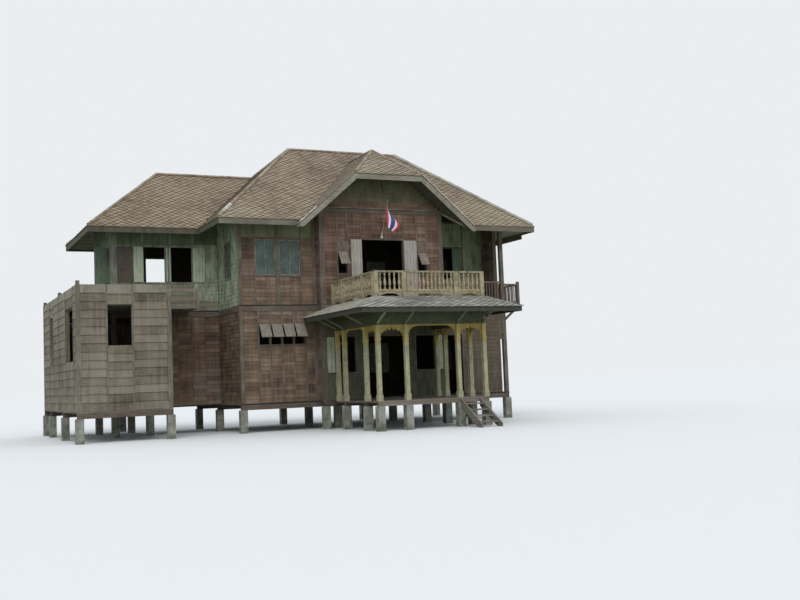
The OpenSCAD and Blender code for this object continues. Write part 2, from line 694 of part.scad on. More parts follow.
// Fretwork under the frieze: a board cut to a cusped arch, whose lobes are circles set
// along an ellipse. The two halves of the ellipse may stand apart, with a flat strip between.
// Over a narrow bay the crown is lower and has a pointed notch.
fret_t = 30;
lobe_r = 62;
fret_reach = 350;                           // reach of the brackets at either end of a wide bay
function lobe_at(a, rx, rz, flat) =
    [rx * cos(a) + sign(cos(a)) * flat / 2, rz * sin(a) - fret_drop];
module fret_arch(span, lobes, flat) {
    crown = flat > 0 ? 45 : 125;
    rx = (span - flat) / 2 - lobe_r - 12;
    rz = fret_drop - lobe_r - crown;
    arch = [for (a = [0 : 7.5 : 180]) lobe_at(a, rx, rz, flat)];
    foot = rx + flat / 2;
    difference() {
        translate([-span / 2, -fret_drop]) square([span, fret_drop]);
        polygon(concat(arch, [[-foot, -fret_drop - 1], [foot, -fret_drop - 1]]));
        if (flat > 0)
            translate([-flat / 2, -fret_drop - 1]) square([flat, fret_drop + 1 - crown]);
        else
            polygon([[-30, -crown - lobe_r], [30, -crown - lobe_r], [0, -crown / 3]]);
        for (i = [0 : lobes]) translate(lobe_at(180 * i / lobes, rx, rz, flat))
            circle(r = lobe_r, $fn = 32);
    }
}
// Clear span between two column faces, less an open joint at each end.
function clear_span(a, b) = b - a - col - 2 * gap;
module fret_board(a, b, wide)
    let (span = clear_span(a, b))
        linear_extrude(fret_t)
            fret_arch(span, wide ? 9 : 8, wide ? span - 2 * fret_reach : 0);
module fret_front(a, b, wide)
    translate([(a + b) / 2, col_y[0] + fret_t / 2, frieze_z]) rotate([90, 0, 0])
        fret_board(a, b, wide);
module fret_side(x, a, b, wide)
    translate([x - fret_t / 2, (a + b) / 2, frieze_z]) rotate([90, 0, 90])
        fret_board(a, b, wide);
module porch_brackets() {
    color("#bfa047") {
        fret_front(col_x[0], col_x[1], false);
        fret_front(col_x[1], col_x[2], true);
        fret_front(col_x[2], col_x[3], false);
        for (x = [col_x[0], col_x[3]]) {
            fret_side(x, col_y[0], col_y[1], false);
            fret_side(x, col_y[1], col_y[2], true);
            fret_side(x, col_y[2], col_y[3], false);
        }
    }
}

// Frieze boards over the columns carry the balcony deck.
module porch_frieze() {
    color("#8c9068") {
        translate([col_x[0] - frieze_t / 2, col_y[0] - frieze_t / 2, frieze_z])
            cube([col_x[3] - col_x[0] + frieze_t, frieze_t, frieze_h]);
        for (x = [col_x[0], col_x[3]])
            translate([x - frieze_t / 2, col_y[0] + frieze_t / 2 + gap, frieze_z])
                cube([frieze_t, -gable_out - col_y[0] - frieze_t / 2 - 2 * gap, frieze_h]);
    }
}

// Prisms with a profile across X or across Y, for the roofs.
far = 4000;
module prism_x(x0, x1, profile)
    translate([x0, 0, 0]) rotate([90, 0, 90]) linear_extrude(x1 - x0) polygon(profile);
module prism_y(y0, y1, profile)
    translate([0, y1, 0]) rotate([90, 0, 0]) linear_extrude(y1 - y0) polygon(profile);

// Skirt roof round the deck: the space under its tiles less the space under its boarding.
// It runs back to the main wall on both sides of the gable bay. Narrow joints along the two
// hips part its slopes.
joint = 8;
module hip_cut(x, y, angle, run, z = eave_z - 500)
    translate([x, y, z]) rotate([0, 0, angle])
        translate([0, -joint / 2, 0]) cube([run, joint, far]);
module skirt_form(drop, low) {
    x0 = bal_x - skirt_over;
    x1 = bal_x + bal_w + skirt_over;
    intersection() {
        prism_x(x0, x1, [[bal_y - skirt_over, low], [bal_y - skirt_over, skirt_z - drop],
            [bal_y, bal_z - drop], [0, bal_z - drop], [0, low]]);
        prism_y(bal_y - skirt_over, 0, [[x0, low], [x0, skirt_z - drop],
            [bal_x, bal_z - drop], [bal_x + bal_w, bal_z - drop], [x1, skirt_z - drop],
            [x1, low]]);
    }
}
module porch_roof() {
    low = skirt_z - skirt_t;
    color("#8f8c85") difference() {
        skirt_form(0, low);
        skirt_form(skirt_t, low - 10);
        translate([bal_x, bal_y, 0]) cube([bal_w, 1 - bal_y, bal_z + 1]);
        translate([gable_x, -gable_out, 0]) cube([gable_w, gable_out + 1, bal_z + 1]);
        hip_cut(bal_x - skirt_over, bal_y - skirt_over, 45, skirt_over * sqrt(2), low - 10);
        hip_cut(bal_x + bal_w + skirt_over, bal_y - skirt_over, 135, skirt_over * sqrt(2),
            low - 10);
    }
}

// Struts lean out from the frieze to the underside of the skirt roof.
function skirt_under(x) = bal_z - skirt_t - (x - col_in) * skirt_slope;
strut_end = skirt_over + col_in - 60;
module strut_profile()
    polygon([[frieze_t / 2, frieze_z + 20], [frieze_t / 2, frieze_z + 90],
        [strut_end - 60, skirt_under(strut_end - 60)], [strut_end, skirt_under(strut_end)]]);
module eave_struts() {
    w = 45;
    color(cream) {
        for (x = col_x) translate([x + w / 2, col_y[0], 0]) rotate([90, 0, -90])
            linear_extrude(w) strut_profile();
        for (s = [0, 1], y = [col_y[1], col_y[2], col_y[3]])
            translate([s ? col_x[3] : col_x[0], y, 0]) mirror([s, 0, 0])
                translate([0, w / 2, 0]) rotate([90, 0, 0])
                    mirror([1, 0, 0]) linear_extrude(w) strut_profile();
    }
}

module balcony_deck() {
    color(grey_wood) translate([bal_x, bal_y, bal_z - deck_beam])
        cube([bal_w, bal_d, deck_beam]);
}

// Turned baluster with a vase-shaped belly, between a foot and a neck ring.
bal_r = 48;
module baluster(z0, z1) {
    h = z1 - z0;
    rotate_extrude($fn = 20)
        polygon([[0, z0], [bal_r * 0.8, z0], [bal_r * 0.8, z0 + 0.08 * h],
            [bal_r * 0.45, z0 + 0.12 * h], [bal_r, z0 + 0.34 * h], [bal_r * 0.9, z0 + 0.46 * h],
            [bal_r * 0.42, z0 + 0.78 * h], [bal_r * 0.75, z0 + 0.86 * h],
            [bal_r * 0.75, z1], [0, z1]]);
}
// Apron board cut to a flat arch along its foot.
apron_t = 30;
apron_rise = 125;
module apron(span) {
    arch = [for (a = [0 : 15 : 180]) [span * (0.5 - 0.42 * cos(a)), apron_rise * sin(a)]];
    translate([0, apron_t / 2, bal_z]) rotate([90, 0, 0]) linear_extrude(apron_t)
        polygon(concat([[0, apron_h], [0, 0]], arch, [[span, 0], [span, apron_h]]));
}
// A run of balustrade along X: newels at the given places, balusters spaced between them,
// a hand rail, and a bottom rail over an apron board, which stands clear of the roof.
newel = 150;
rail_t = 60;                                // height of the hand rail and the bottom rail
module balustrade(newels, count) {
    last = len(newels) - 1;
    length = newels[last] - newels[0];
    translate([newels[0] - newel / 2, -65, bal_z + rail_top - rail_t])
        cube([length + newel, 130, rail_t]);
    translate([newels[0], -35, bal_z + apron_h - 1]) cube([length, 70, rail_t + 1]);
    for (x = newels)
        translate([x - newel / 2, -newel / 2, bal_z]) cube([newel, newel, rail_top - rail_t]);
    for (i = [0 : last - 1]) {
        n = count[i];
        a = newels[i] + newel / 2;
        span = newels[i + 1] - newels[i] - newel;
        translate([a, 0, 0]) apron(span);
        for (k = [0 : n - 1]) translate([a + span / n * (k + 0.5), 0, 0])
            baluster(bal_z + apron_h + rail_t - 1, bal_z + rail_top - rail_t + 1);
    }
}
module balcony_front_rail() {
    color(cream) translate([0, col_y[0], 0]) balustrade(col_x, [5, 12, 5]);
}
module balcony_side_rails() {
    start = newel + 2 * gap;
    ys = [0, col_y[1] - col_y[0] - start, col_y[2] - col_y[0] - start,
        -gable_out - newel / 2 - gap - col_y[0] - start];
    color(cream) for (x = [col_x[0], col_x[3]])
        translate([x, col_y[0] + start, 0]) rotate([0, 0, 90]) balustrade(ys, [4, 10, 4]);
}

// Light railings of square bars, at the verandah and round the side landing.
module bar_rail(length) {
    n = round(length / 130);
    translate([0, 0, rail_top - 70]) cube([length, 70, 70]);
    translate([0, 15, 100]) cube([length, 40, 60]);
    for (k = [1 : n - 1]) translate([length * k / n - 20, 20, 159])
        cube([40, 30, rail_top - 228]);
}
module verandah_rails() {
    color(wood) {
        translate([verandah_x, 40, upper_z]) bar_rail(recess_w - post);
        for (y = [landing_y[0] + 15, landing_y[1] - 85])
            translate([main_w - inset, y, upper_z]) bar_rail(landing_x - newel_s + inset);
        translate([main_w + landing_x - 15, landing_y[0] + newel_s, upper_z])
            rotate([0, 0, 90]) bar_rail(landing_y[1] - landing_y[0] - 2 * newel_s);
    }
}

// Landing at the right side, on two beams with raking struts back to the wall, and a newel
// at each outer corner.
newel_s = 100;
module side_landing() {
    len_y = landing_y[1] - landing_y[0];
    arm = 80;                               // width of the beams and struts
    arm_h = 120;
    foot = door_low + rail_h + 40;          // lower end of the struts, over the window heads
    color(wood) {
        translate([main_w, landing_y[0], under_z]) cube([landing_x, len_y, deck_t]);
        for (y = [landing_y[0] + 60, landing_y[1] - 60 - arm]) translate([main_w, y, 0]) {
            translate([0, 0, under_z - arm_h]) cube([landing_x, arm, arm_h]);
            translate([0, arm, 0]) rotate([90, 0, 0]) linear_extrude(arm)
                polygon([[-inset, foot], [-inset, foot + 140],
                    [landing_x - 240, under_z - arm_h], [landing_x - 120, under_z - arm_h]]);
        }
        for (y = [landing_y[0], landing_y[1] - newel_s])
            translate([main_w + landing_x - newel_s, y, upper_z])
                cube([newel_s, newel_s, rail_top + 90]);
    }
}

// The roofs are made in the same way, and each gives way where it meets a taller one.
// drop lowers the surface; grow widens the cut past the eaves.
module main_form(drop, grow) {
    low = eave_z - roof_t - grow;
    reach = half_d + (grow > 0 ? grow / main_t : 0);
    edge = main_ridge - reach * main_t - drop;
    intersection() {
        prism_x(-eave_over - grow * 2, main_w + eave_over + grow * 2,
            [[main_d / 2 - reach, low], [main_d / 2 - reach, edge],
             [main_d / 2, main_ridge - drop], [main_d / 2 + reach, edge],
             [main_d / 2 + reach, low]]);
        prism_y(-far, main_d + far,
            [[half_d - reach - eave_over, low], [half_d - reach - eave_over, edge],
             [half_d - eave_over, main_ridge - drop],
             [main_w + eave_over - half_d, main_ridge - drop],
             [main_w + eave_over - half_d + reach, edge],
             [main_w + eave_over - half_d + reach, low]]);
    }
}
wing_mid = wing_set + wing_d / 2;
wing_end = -eave_over + wing_run * tan(wing_pitch) / main_t;
module wing_form(drop, grow) {
    low = eave_z - roof_t - grow;
    run = wing_run + grow;
    run_end = wing_end_run + grow;
    edge = wing_ridge - run * tan(wing_pitch) - drop;
    edge_end = wing_ridge - run_end * tan(wing_end_pitch) - drop;
    ridge_x = -wing_w - eave_over + wing_end_run;
    intersection() {
        prism_x(-wing_w - far, wing_end,
            [[wing_mid - run, min(low, edge)], [wing_mid - run, edge],
             [wing_mid, wing_ridge - drop], [wing_mid + run, edge],
             [wing_mid + run, min(low, edge)]]);
        prism_y(-far, main_d + far,
            [[ridge_x - run_end, min(low, edge_end)], [ridge_x - run_end, edge_end],
             [ridge_x, wing_ridge - drop], [wing_end, wing_ridge - drop],
             [wing_end, min(low, edge_end)]]);
    }
}
module gable_form(drop, grow) {
    back = main_d / 2;
    full = rake_half + rake_tail;
    peak = gable_ridge_z - drop;
    intersection() {
        union() {
            translate([gable_mid, 0, 0]) prism_y(rake_y - grow, -eave_over,
                [[0, peak], [-full, peak - full * gable_t],
                 [-full, peak - full * gable_t - roof_t - grow],
                 [full, peak - full * gable_t - roof_t - grow], [full, peak - full * gable_t]]);
            translate([gable_mid, 0, 0]) prism_y(-eave_over - 1, back,
                [[0, peak], [-rake_half, peak - rake_half * gable_t],
                 [-rake_half, eave_z - roof_t - grow], [rake_half, eave_z - roof_t - grow],
                 [rake_half, peak - rake_half * gable_t]]);
        }
        prism_x(gable_mid - far, gable_mid + far,
            [[rake_y - grow, 0], [rake_y - grow, clip_z - drop - grow * clip_t],
             [rake_y + far, clip_z - drop + far * clip_t], [rake_y + far, 0]]);
    }
}
module under_roofs() {
    main_form(roof_t, 60);
    wing_form(roof_t, 60);
    gable_form(roof_t, 60);
}

// Narrow joints along the hips and the ridge part the slopes; the ridge caps cover them.
module main_roof() {
    x0 = -eave_over;
    x1 = main_w + eave_over;
    diag = half_d * sqrt(2);
    color("#8a7767") difference() {
        main_form(0, 0);
        under_roofs();
        for (s = [[x0, -eave_over, 45], [x1, -eave_over, 135],
                  [x0, main_d + eave_over, -45], [x1, main_d + eave_over, -135]])
            hip_cut(s[0], s[1], s[2], diag);
        hip_cut(x0 + half_d - joint, main_d / 2, 0, main_w + 2 * eave_over - 2 * half_d
            + 2 * joint);
    }
}
module wing_roof() {
    x0 = -wing_w - eave_over;
    turn = atan(wing_run / wing_end_run);
    diag = norm([wing_run, wing_end_run]);
    color("#86735f") difference() {
        wing_form(0, 0);
        under_roofs();
        main_form(0, 0);
        hip_cut(x0, wing_mid - wing_run, turn, diag);
        hip_cut(x0, wing_mid + wing_run, -turn, diag);
        hip_cut(x0 + wing_end_run - joint, wing_mid, 0, far * 2);
    }
}
module gable_roof() {
    hip_run = (gable_ridge_z - clip_z) / clip_t;
    turn = atan(hip_run / clip_half);
    diag = norm([hip_run, clip_half]);
    color("#8a7767") difference() {
        gable_form(0, 0);
        under_roofs();
        main_form(0, 0);
        hip_cut(gable_mid - clip_half, rake_y, turn, diag);
        hip_cut(gable_mid + clip_half, rake_y, 180 - turn, diag);
        hip_cut(gable_mid, rake_y + hip_run - joint, 90, far);
    }
}

// Eight-sided cement caps bedded over the joints of the hips and ridges. Each stops a
// little short of its neighbours, where the mortar of the knot goes.
cap_r = 60;
knot = 110;
module bar(a, b, r) {
    d = b - a;
    run = norm(d);
    translate(a) rotate([0, acos(d[2] / run), atan2(d[1], d[0])])
        translate([0, 0, knot]) cylinder(h = run - 2 * knot, r = r, $fn = 8);
}
module ridge_caps() {
    x0 = -eave_over;
    x1 = main_w + eave_over;
    y1 = main_d + eave_over;
    my = main_d / 2;
    ends = [[x0 + half_d, my, main_ridge], [x1 - half_d, my, main_ridge]];
    wing_tip = [-wing_w - eave_over + wing_end_run, wing_mid, wing_ridge];
    hip_run = (gable_ridge_z - clip_z) / clip_t;
    gable_tip = [gable_mid, rake_y + hip_run, gable_ridge_z];
    color("#9b948a") difference() {
        union() {
            bar(ends[0], ends[1], cap_r);
            bar([x0, -eave_over, eave_z], ends[0], cap_r);
            // The back left hip starts where it comes out of the wing's roof
            bar([wing_end, y1 + x0 - wing_end, wing_ridge], ends[0], cap_r);
            for (y = [-eave_over, y1]) bar([x1, y, eave_z], ends[1], cap_r);
            bar(wing_tip, [wing_end, wing_mid, wing_ridge], cap_r);
            for (s = [-1, 1]) {
                bar([-wing_w - eave_over, wing_mid + s * wing_run, eave_z], wing_tip, cap_r);
                bar([gable_mid + s * clip_half, rake_y, clip_z], gable_tip, cap_r * 0.8);
            }
            bar(gable_tip, [gable_mid, my, gable_ridge_z], cap_r);
        }
        main_form(0, 0);
        wing_form(0, 0);
        gable_form(0, 0);
        under_roofs();
    }
}

// Fascia boards hang outside the cut ends of the rafters, one to each straight eave.
fascia_top = eave_z - 50;                   // the tiles' edge laps over the boards
module fascia_x(x0, x1, y) translate([x0, y, fascia_top - fascia_h])
    cube([x1 - x0, fascia_t, fascia_h]);
module fascia_y(x, y0, y1) translate([x, y0, fascia_top - fascia_h])
    cube([fascia_t, y1 - y0, fascia_h]);
module fascia_boards() {
    x0 = -eave_over;
    x1 = main_w + eave_over;
    y0 = -eave_over;
    y1 = main_d + eave_over;
    wx = -wing_w - eave_over;
    wy = wing_set - eave_over;
    tail = rake_half + rake_tail + fascia_t;
    drop = 160;                             // deeper board under the right-hand eave
    color(grey_wood) {
        fascia_x(x0 - fascia_t, gable_mid - tail - gap, y0 - fascia_t);
        fascia_x(gable_mid + tail + gap, x1 + fascia_t, y0 - fascia_t);
        fascia_y(x0 - fascia_t, y0 + gap, wy - fascia_t - gap);
        fascia_y(x1, y0 + gap, y1 - gap);
        translate([x1, 0, fascia_top - fascia_h - drop]) cube([fascia_t, y1 - gap, drop]);
        fascia_x(wx - fascia_t, x1 + fascia_t, y1);
        fascia_x(wx - fascia_t, x0, wy - fascia_t);
        fascia_y(wx - fascia_t, wy + gap, y1 - gap);
        // Skirt roof of the porch
        translate([bal_x - skirt_over, bal_y - skirt_over - fascia_t, skirt_z - 190])
            cube([bal_w + 2 * skirt_over, fascia_t, 170]);
        for (x = [bal_x - skirt_over - fascia_t, bal_x + bal_w + skirt_over])
            translate([x, bal_y - skirt_over + gap, skirt_z - 190])
                cube([fascia_t, skirt_over - bal_y - 2 * gap, 170]);
    }
}

// Barge boards follow the rakes; a level board closes the clip.
module barge_boards() {
    full = rake_half + rake_tail;
    foot = gable_ridge_z - full * gable_t - 20;
    rake_cut = 90;                          // cut off the feet of the boards, level
    color(grey_wood) {
        for (s = [0, 1]) translate([gable_mid, rake_y, 0]) mirror([s, 0, 0]) {
            rotate([90, 0, 0]) linear_extrude(fascia_t) difference() {
                polygon([[clip_half + gap, clip_z - 20], [full, foot],
                    [full, foot - barge_h], [clip_half + gap, clip_z - 50 - barge_h]]);
                translate([0, foot - barge_h - 1]) square([full + 1, rake_cut + 1]);
            }
            translate([full, -fascia_t, foot - barge_h + rake_cut])
                cube([fascia_t, -eave_over - rake_y + fascia_t, barge_h - rake_cut]);
        }
        translate([gable_mid - clip_half, rake_y - fascia_t, clip_z - 50 - fascia_h])
            cube([2 * clip_half, fascia_t, fascia_h]);
    }
}

// Open wooden steps before the right-hand front bay, between two raking strings.
module porch_steps() {
    rise = porch_z / 5;
    x0 = (col_x[2] + col_x[3]) / 2 - 150 - step_w / 2;
    string_t = 60;
    color(grey_wood) {
        for (i = [1 : 4]) translate([x0 + string_t, bal_y - step_run * (5 - i),
            rise * i - 50]) cube([step_w - 2 * string_t, step_run - 40, 50]);
        for (x = [x0, x0 + step_w - string_t]) translate([x, bal_y, 0])
            rotate([90, 0, 90]) linear_extrude(string_t)
                polygon([[0, porch_z - 20], [-step_run * 4.7, rise * 0.6],
                    [-step_run * 4.7, 0], [-step_run * 3.8, 0], [0, porch_z - 330]]);
    }
}

// A short pole leans out from the gable wall over the balcony door, with a small flag that
// hangs from it.
pole_foot = [gable_mid - 45, -gable_out, head_z + rail_h + 20];
pole_len = 1500;
pole_lean = 28;
pole_r = 14;
flag_w = 360;
flag_l = 980;
module flag_pole() {
    color("#d8d4cc") {
        translate(pole_foot) rotate([pole_lean, 0, 0]) {
            cylinder(h = pole_len, r = pole_r, $fn = 24);
            cylinder(h = 200, r = pole_r * 2, $fn = 24);
        }
        translate(pole_foot + [-40, -60, -20]) cube([80, 60 + inset, 80]);
    }
}
module flag() {
    color("#b03040") translate(pole_foot) rotate([pole_lean, 0, 0])
        translate([pole_r + 0.3, -6, pole_len - flag_l - 20]) cube([flag_w, 12, flag_l]);
}

piers();
floor_beams();
ground_floor();
lower_posts();
lower_rails();
lower_front_wall();
lower_side_walls();
lower_back_wall();
annex_posts();
annex_walls();
terrace_deck();
upper_beams();
upper_floor();
upper_posts();
upper_rails();
wall_plates();
upper_front_wall();
gable_wall();
wing_walls();
upper_side_walls();
upper_back_wall();
window_glass();
window_shutters();
gable_shutters();
awning_flaps();
porch_floor();
porch_columns();
porch_brackets();
porch_frieze();
porch_roof();
eave_struts();
balcony_deck();
balcony_front_rail();
balcony_side_rails();
verandah_rails();
side_landing();
main_roof();
wing_roof();
gable_roof();
fascia_boards();
barge_boards();
ridge_caps();
porch_steps();
flag_pole();
flag();
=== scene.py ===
import math
import bmesh
import bpy
import numpy as np
from mathutils import Matrix, Vector


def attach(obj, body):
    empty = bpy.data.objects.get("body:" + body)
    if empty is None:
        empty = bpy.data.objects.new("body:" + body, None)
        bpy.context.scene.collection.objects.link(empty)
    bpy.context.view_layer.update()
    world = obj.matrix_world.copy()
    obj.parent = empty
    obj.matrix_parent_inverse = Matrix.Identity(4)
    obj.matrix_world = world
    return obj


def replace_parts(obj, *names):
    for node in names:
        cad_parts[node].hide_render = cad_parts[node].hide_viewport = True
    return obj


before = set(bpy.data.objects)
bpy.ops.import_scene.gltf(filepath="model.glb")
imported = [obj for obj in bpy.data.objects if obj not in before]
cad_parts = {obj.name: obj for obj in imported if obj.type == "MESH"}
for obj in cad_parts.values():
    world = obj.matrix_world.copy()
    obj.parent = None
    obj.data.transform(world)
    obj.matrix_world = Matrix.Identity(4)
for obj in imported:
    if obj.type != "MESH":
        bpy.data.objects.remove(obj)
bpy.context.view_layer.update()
rng = np.random.default_rng(11)


def add_object(name, data):
    """Puts a new object with this data in the scene."""
    made = bpy.data.objects.new(name, data)
    bpy.context.scene.collection.objects.link(made)
    return made


# Camera
# The house is seen from its front left, from a standing eye height across a field. The
# camera was worked out from the eaves, ridges and corners of the photograph.
eye = (-10.777, -36.068, 1.699)
yaw, pitch, roll = 0.4445, 0.0762, -0.0401
focal, frame_width = 1040, 800  # in the photograph's pixels
ahead = Vector((math.sin(yaw) * math.cos(pitch), math.cos(yaw) * math.cos(pitch), math.sin(pitch)))
level = Vector((math.cos(yaw), -math.sin(yaw), 0))
above = level.cross(ahead)
side = math.cos(roll) * level + math.sin(roll) * above
head = -math.sin(roll) * level + math.cos(roll) * above
camera = add_object("photo_camera", bpy.data.cameras.new("photo_camera"))
bpy.context.scene.camera = camera
camera.data.sensor_width = 36
camera.data.lens = focal / frame_width * camera.data.sensor_width
camera.data.clip_end = 2000
turn = Matrix((side, head, -ahead)).transposed().to_4x4()
camera.matrix_world = Matrix.Translation(eye) @ turn


# Piers
# Square concrete piers on the ground carry the floor beams. They are rough, stained dark by
# splashing at the foot, with some moss.
class Value:
    """One output socket of a material, on which + - * and / add Math nodes."""

    def __init__(self, finish, socket):
        self.finish, self.socket = finish, socket

    def _sum(self, operation, a, b):
        return self.finish.node("Math", {"operation": operation}, {0: a, 1: b})

    def through(self, operation):
        """The value after a Math node with one input, such as FLOOR."""
        return self.finish.node("Math", {"operation": operation}, {0: self})

    def __add__(self, other):
        return self._sum("ADD", self, other)

    def __sub__(self, other):
        return self._sum("SUBTRACT", self, other)

    def __mul__(self, other):
        return self._sum("MULTIPLY", self, other)

    def __truediv__(self, other):
        return self._sum("DIVIDE", self, other)

    def __rsub__(self, other):
        return self._sum("SUBTRACT", other, self)

    __radd__, __rmul__ = __add__, __mul__


class Finish:
    """One procedural material on a Principled surface."""

    def __init__(self, name, roughness=0.85):
        self.mat = bpy.data.materials.new(name)
        self.mat.use_nodes = True
        self.tree = self.mat.node_tree
        self.surface = self.tree.nodes["Principled BSDF"]
        self.surface.inputs["Roughness"].default_value = roughness
        self.place = self.node("TexCoord", out="Object")

    def node(self, kind, settings=(), inputs=(), out=0):
        """Adds a node of the kind, with its settings first and then its sockets' values or links."""
        made = self.tree.nodes.new("ShaderNode" + kind)
        for key, value in dict(settings).items():
            if key == "stops":
                ramp = made.color_ramp
                while len(ramp.elements) < len(value):
                    ramp.elements.new(0.5)
                for element, (at, colour) in zip(ramp.elements, value):
                    element.position, element.color = at, (*colour, 1)
            else:
                setattr(made, key, value)
        for key, value in dict(inputs).items():
            socket = made.inputs[key]
            if isinstance(value, Value):
                self.tree.links.new(value.socket, socket)
            elif isinstance(value, tuple) and socket.type == "RGBA":
                socket.default_value = (*value, 1)
            else:
                socket.default_value = value
        return Value(self, made.outputs[out])

    def scaled(self, where, x, y, z):
        return self.node("Mapping", inputs={"Vector": where, "Scale": (x, y, z)})

    def noise(self, where, scale, detail=4.0, rough=0.55):
        return self.node("TexNoise", inputs={"Vector": where, "Scale": scale, "Detail": detail,
                                             "Roughness": rough})

    def between(self, value, low, high):
        """Rises from 0 to 1 as the value goes from low to high, with soft ends."""
        return self.node("MapRange", {"interpolation_type": "SMOOTHSTEP"},
                         {0: value, 1: low, 2: high})

    def blend(self, factor, a, b):
        return self.node("Mix", {"data_type": "RGBA"}, {0: factor, 6: a, 7: b}, out=2)

    def own(self, name, out="Fac"):
        return self.node("Attribute", {"attribute_name": name}, out=out)

    def wear(self, colour, height, depth=0.004, strength=0.6, roughness=None):
        """Links the colour and the relief to the surface."""
        link = self.tree.links.new
        link(colour.socket, self.surface.inputs["Base Color"])
        bump = self.node("Bump", inputs={"Height": height, "Distance": depth,
                                         "Strength": strength}, out="Normal")
        link(bump.socket, self.surface.inputs["Normal"])
        if roughness is not None:
            link(roughness.socket, self.surface.inputs["Roughness"])
        return self.mat

    def part(self, where, axis):
        """One coordinate of a place."""
        return self.node("SeparateXYZ", inputs={0: where}, out=axis)

    def along(self, axis, low, high):
        """Rises from 0 to 1 between two places along an axis of the frame."""
        return self.between(self.part(self.place, axis), low, high)

    def inside(self, **spans):
        """1 within the spans given along X, Y and Z, and 0 outside them."""
        mask = 1.0
        for axis, (low, high) in spans.items():
            below_end = 1 - self.along(axis, high, high + 0.02)
            mask = self.along(axis, low - 0.02, low) * below_end * mask
        return mask

    def repaint(self, colour, regions):
        """Lays other paint over part of the piece. A region is its spans, a fresh colour, a
        worn one, and how much of the paint is left."""
        flake = self.noise(self.scaled(self.place, 5.0, 5.0, 1.6), 1.0, 6, 0.65)
        for spans, fresh, worn, left in regions:
            coat = self.blend(self.between(flake, 0.42, 0.64), fresh, worn)
            colour = self.blend(self.inside(**spans) * left, colour, coat)
        return colour

    def lines(self, axes, width, gap=0.07):
        """1 on boards of the given width, falling to 0 in the joints between them."""
        step = (sum(self.part(self.place, axis) for axis in axes) / width).through("FRACT")
        return self.between(step, 0.0, gap) * (1 - self.between(step, 1 - gap, 1.0))


def dress(material, *nodes):
    """Gives CAD nodes their material."""
    for node in nodes:
        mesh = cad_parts[node].data
        mesh.materials.clear()
        mesh.materials.append(material)


def stone(name, dark, pale, moss):
    """Grey stone or cement: two tones by a broad noise, specks by a fine one, moss low down."""
    f = Finish(name, 0.92)
    broad = f.noise(f.place, 2.1, 5)
    fine = f.noise(f.place, 38.0, 6, 0.7)
    colour = f.blend(f.between(broad + fine * 0.5, 0.5, 0.95), dark, pale)
    stain = f.between(f.noise(f.place, 5.0, 4), 0.45, 0.62) * (1 - f.along("Z", 0.1, 0.9))
    colour = f.blend(stain * 0.8, colour, moss)
    return f.wear(colour, fine, 0.006, 0.8)


dress(stone("pier_concrete", (0.16, 0.15, 0.13), (0.36, 0.35, 0.31), (0.10, 0.12, 0.06)), "piers")


# Timber frame
# Posts, studs, beams, rails and plates are dark hardwood, once stained red-brown, now split
# and greyed along the grain. They are joined face to face.
def timber(name, dark, mid, grey, grain, weathered=0.5, green=0.0, regions=()):
    """Weathered wood: fibres by a noise drawn out along the grain, broad patches gone grey,
    and green growth where it stays damp. grain gives the noise's scale along X, Y and Z."""
    f = Finish(name, 0.86)
    fibre = f.noise(f.scaled(f.place, *grain), 1.0, 6, 0.62)
    broad = f.noise(f.place, 1.3, 4)
    fine = f.noise(f.scaled(f.place, *(3.2 * g for g in grain)), 1.0, 3)
    colour = f.blend(f.between(fibre, 0.3, 0.7), dark, mid)
    faded = f.between(broad + (fine - 0.5) * 0.5, 0.62 - 0.3 * weathered, 0.95 - 0.3 * weathered)
    colour = f.blend(faded * (0.35 + 0.5 * weathered), colour, grey)
    if green:
        damp = f.between(f.noise(f.place, 0.9, 5), 0.5, 0.72) * green
        colour = f.blend(damp, colour, (0.07, 0.11, 0.045))
    colour = f.repaint(colour, regions)
    return f.wear(colour, fibre * 0.6 + fine * 0.4, 0.005, 0.5)


upright, flat = (26.0, 26.0, 1.6), (1.8, 1.8, 30.0)
wing_side = [({"X": (-9, 0), "Z": (4.58, 9)}, (0.25, 0.27, 0.2), (0.12, 0.115, 0.08), 0.85)]
dress(timber("post_wood", (0.07, 0.05, 0.038), (0.16, 0.12, 0.095), (0.24, 0.22, 0.185), upright,
             0.6, 0.35, regions=wing_side), "lower_posts", "upper_posts")
dress(timber("rail_wood", (0.07, 0.05, 0.038), (0.15, 0.11, 0.085), (0.22, 0.2, 0.165), flat, 0.5,
             0.35, regions=wing_side),
      "floor_beams", "lower_rails", "upper_beams", "upper_rails", "wall_plates")

# Floors
# Boarded floors lie on the beams, worn grey and brown, with open joints between the boards.
def floorboards(name, dark, mid, grey, across, width):
    """Timber with the joints of boards of the given width, side by side along one axis."""
    f = Finish(name, 0.88)
    seam = f.lines(across, width, 0.06)
    board = (f.part(f.place, across) / width).through("FLOOR")
    tone = f.node("TexWhiteNoise", {"noise_dimensions": "1D"}, {"W": board})
    stretch = (22.0, 1.2, 8.0) if across == "X" else (1.2, 22.0, 8.0)
    fibre = f.noise(f.scaled(f.place, *stretch), 1.0, 5)
    colour = f.blend(f.between(fibre * 0.6 + tone * 0.4, 0.25, 0.75), dark, mid)
    colour = f.blend(f.between(f.noise(f.place, 1.1, 4), 0.4, 0.7) * 0.6, colour, grey)
    colour = f.blend(1 - seam, colour, (0.02, 0.018, 0.015))
    return f.wear(colour, fibre * 0.25 + seam * 0.75, 0.006, 0.7)


dress(floorboards("floor_wood", (0.07, 0.055, 0.045), (0.19, 0.15, 0.12), (0.25, 0.23, 0.2),
                  "Y", 0.15), "ground_floor", "upper_floor", "terrace_deck", "porch_floor")
dress(floorboards("deck_wood", (0.07, 0.06, 0.05), (0.2, 0.17, 0.14), (0.26, 0.24, 0.21),
                  "X", 0.15), "balcony_deck")


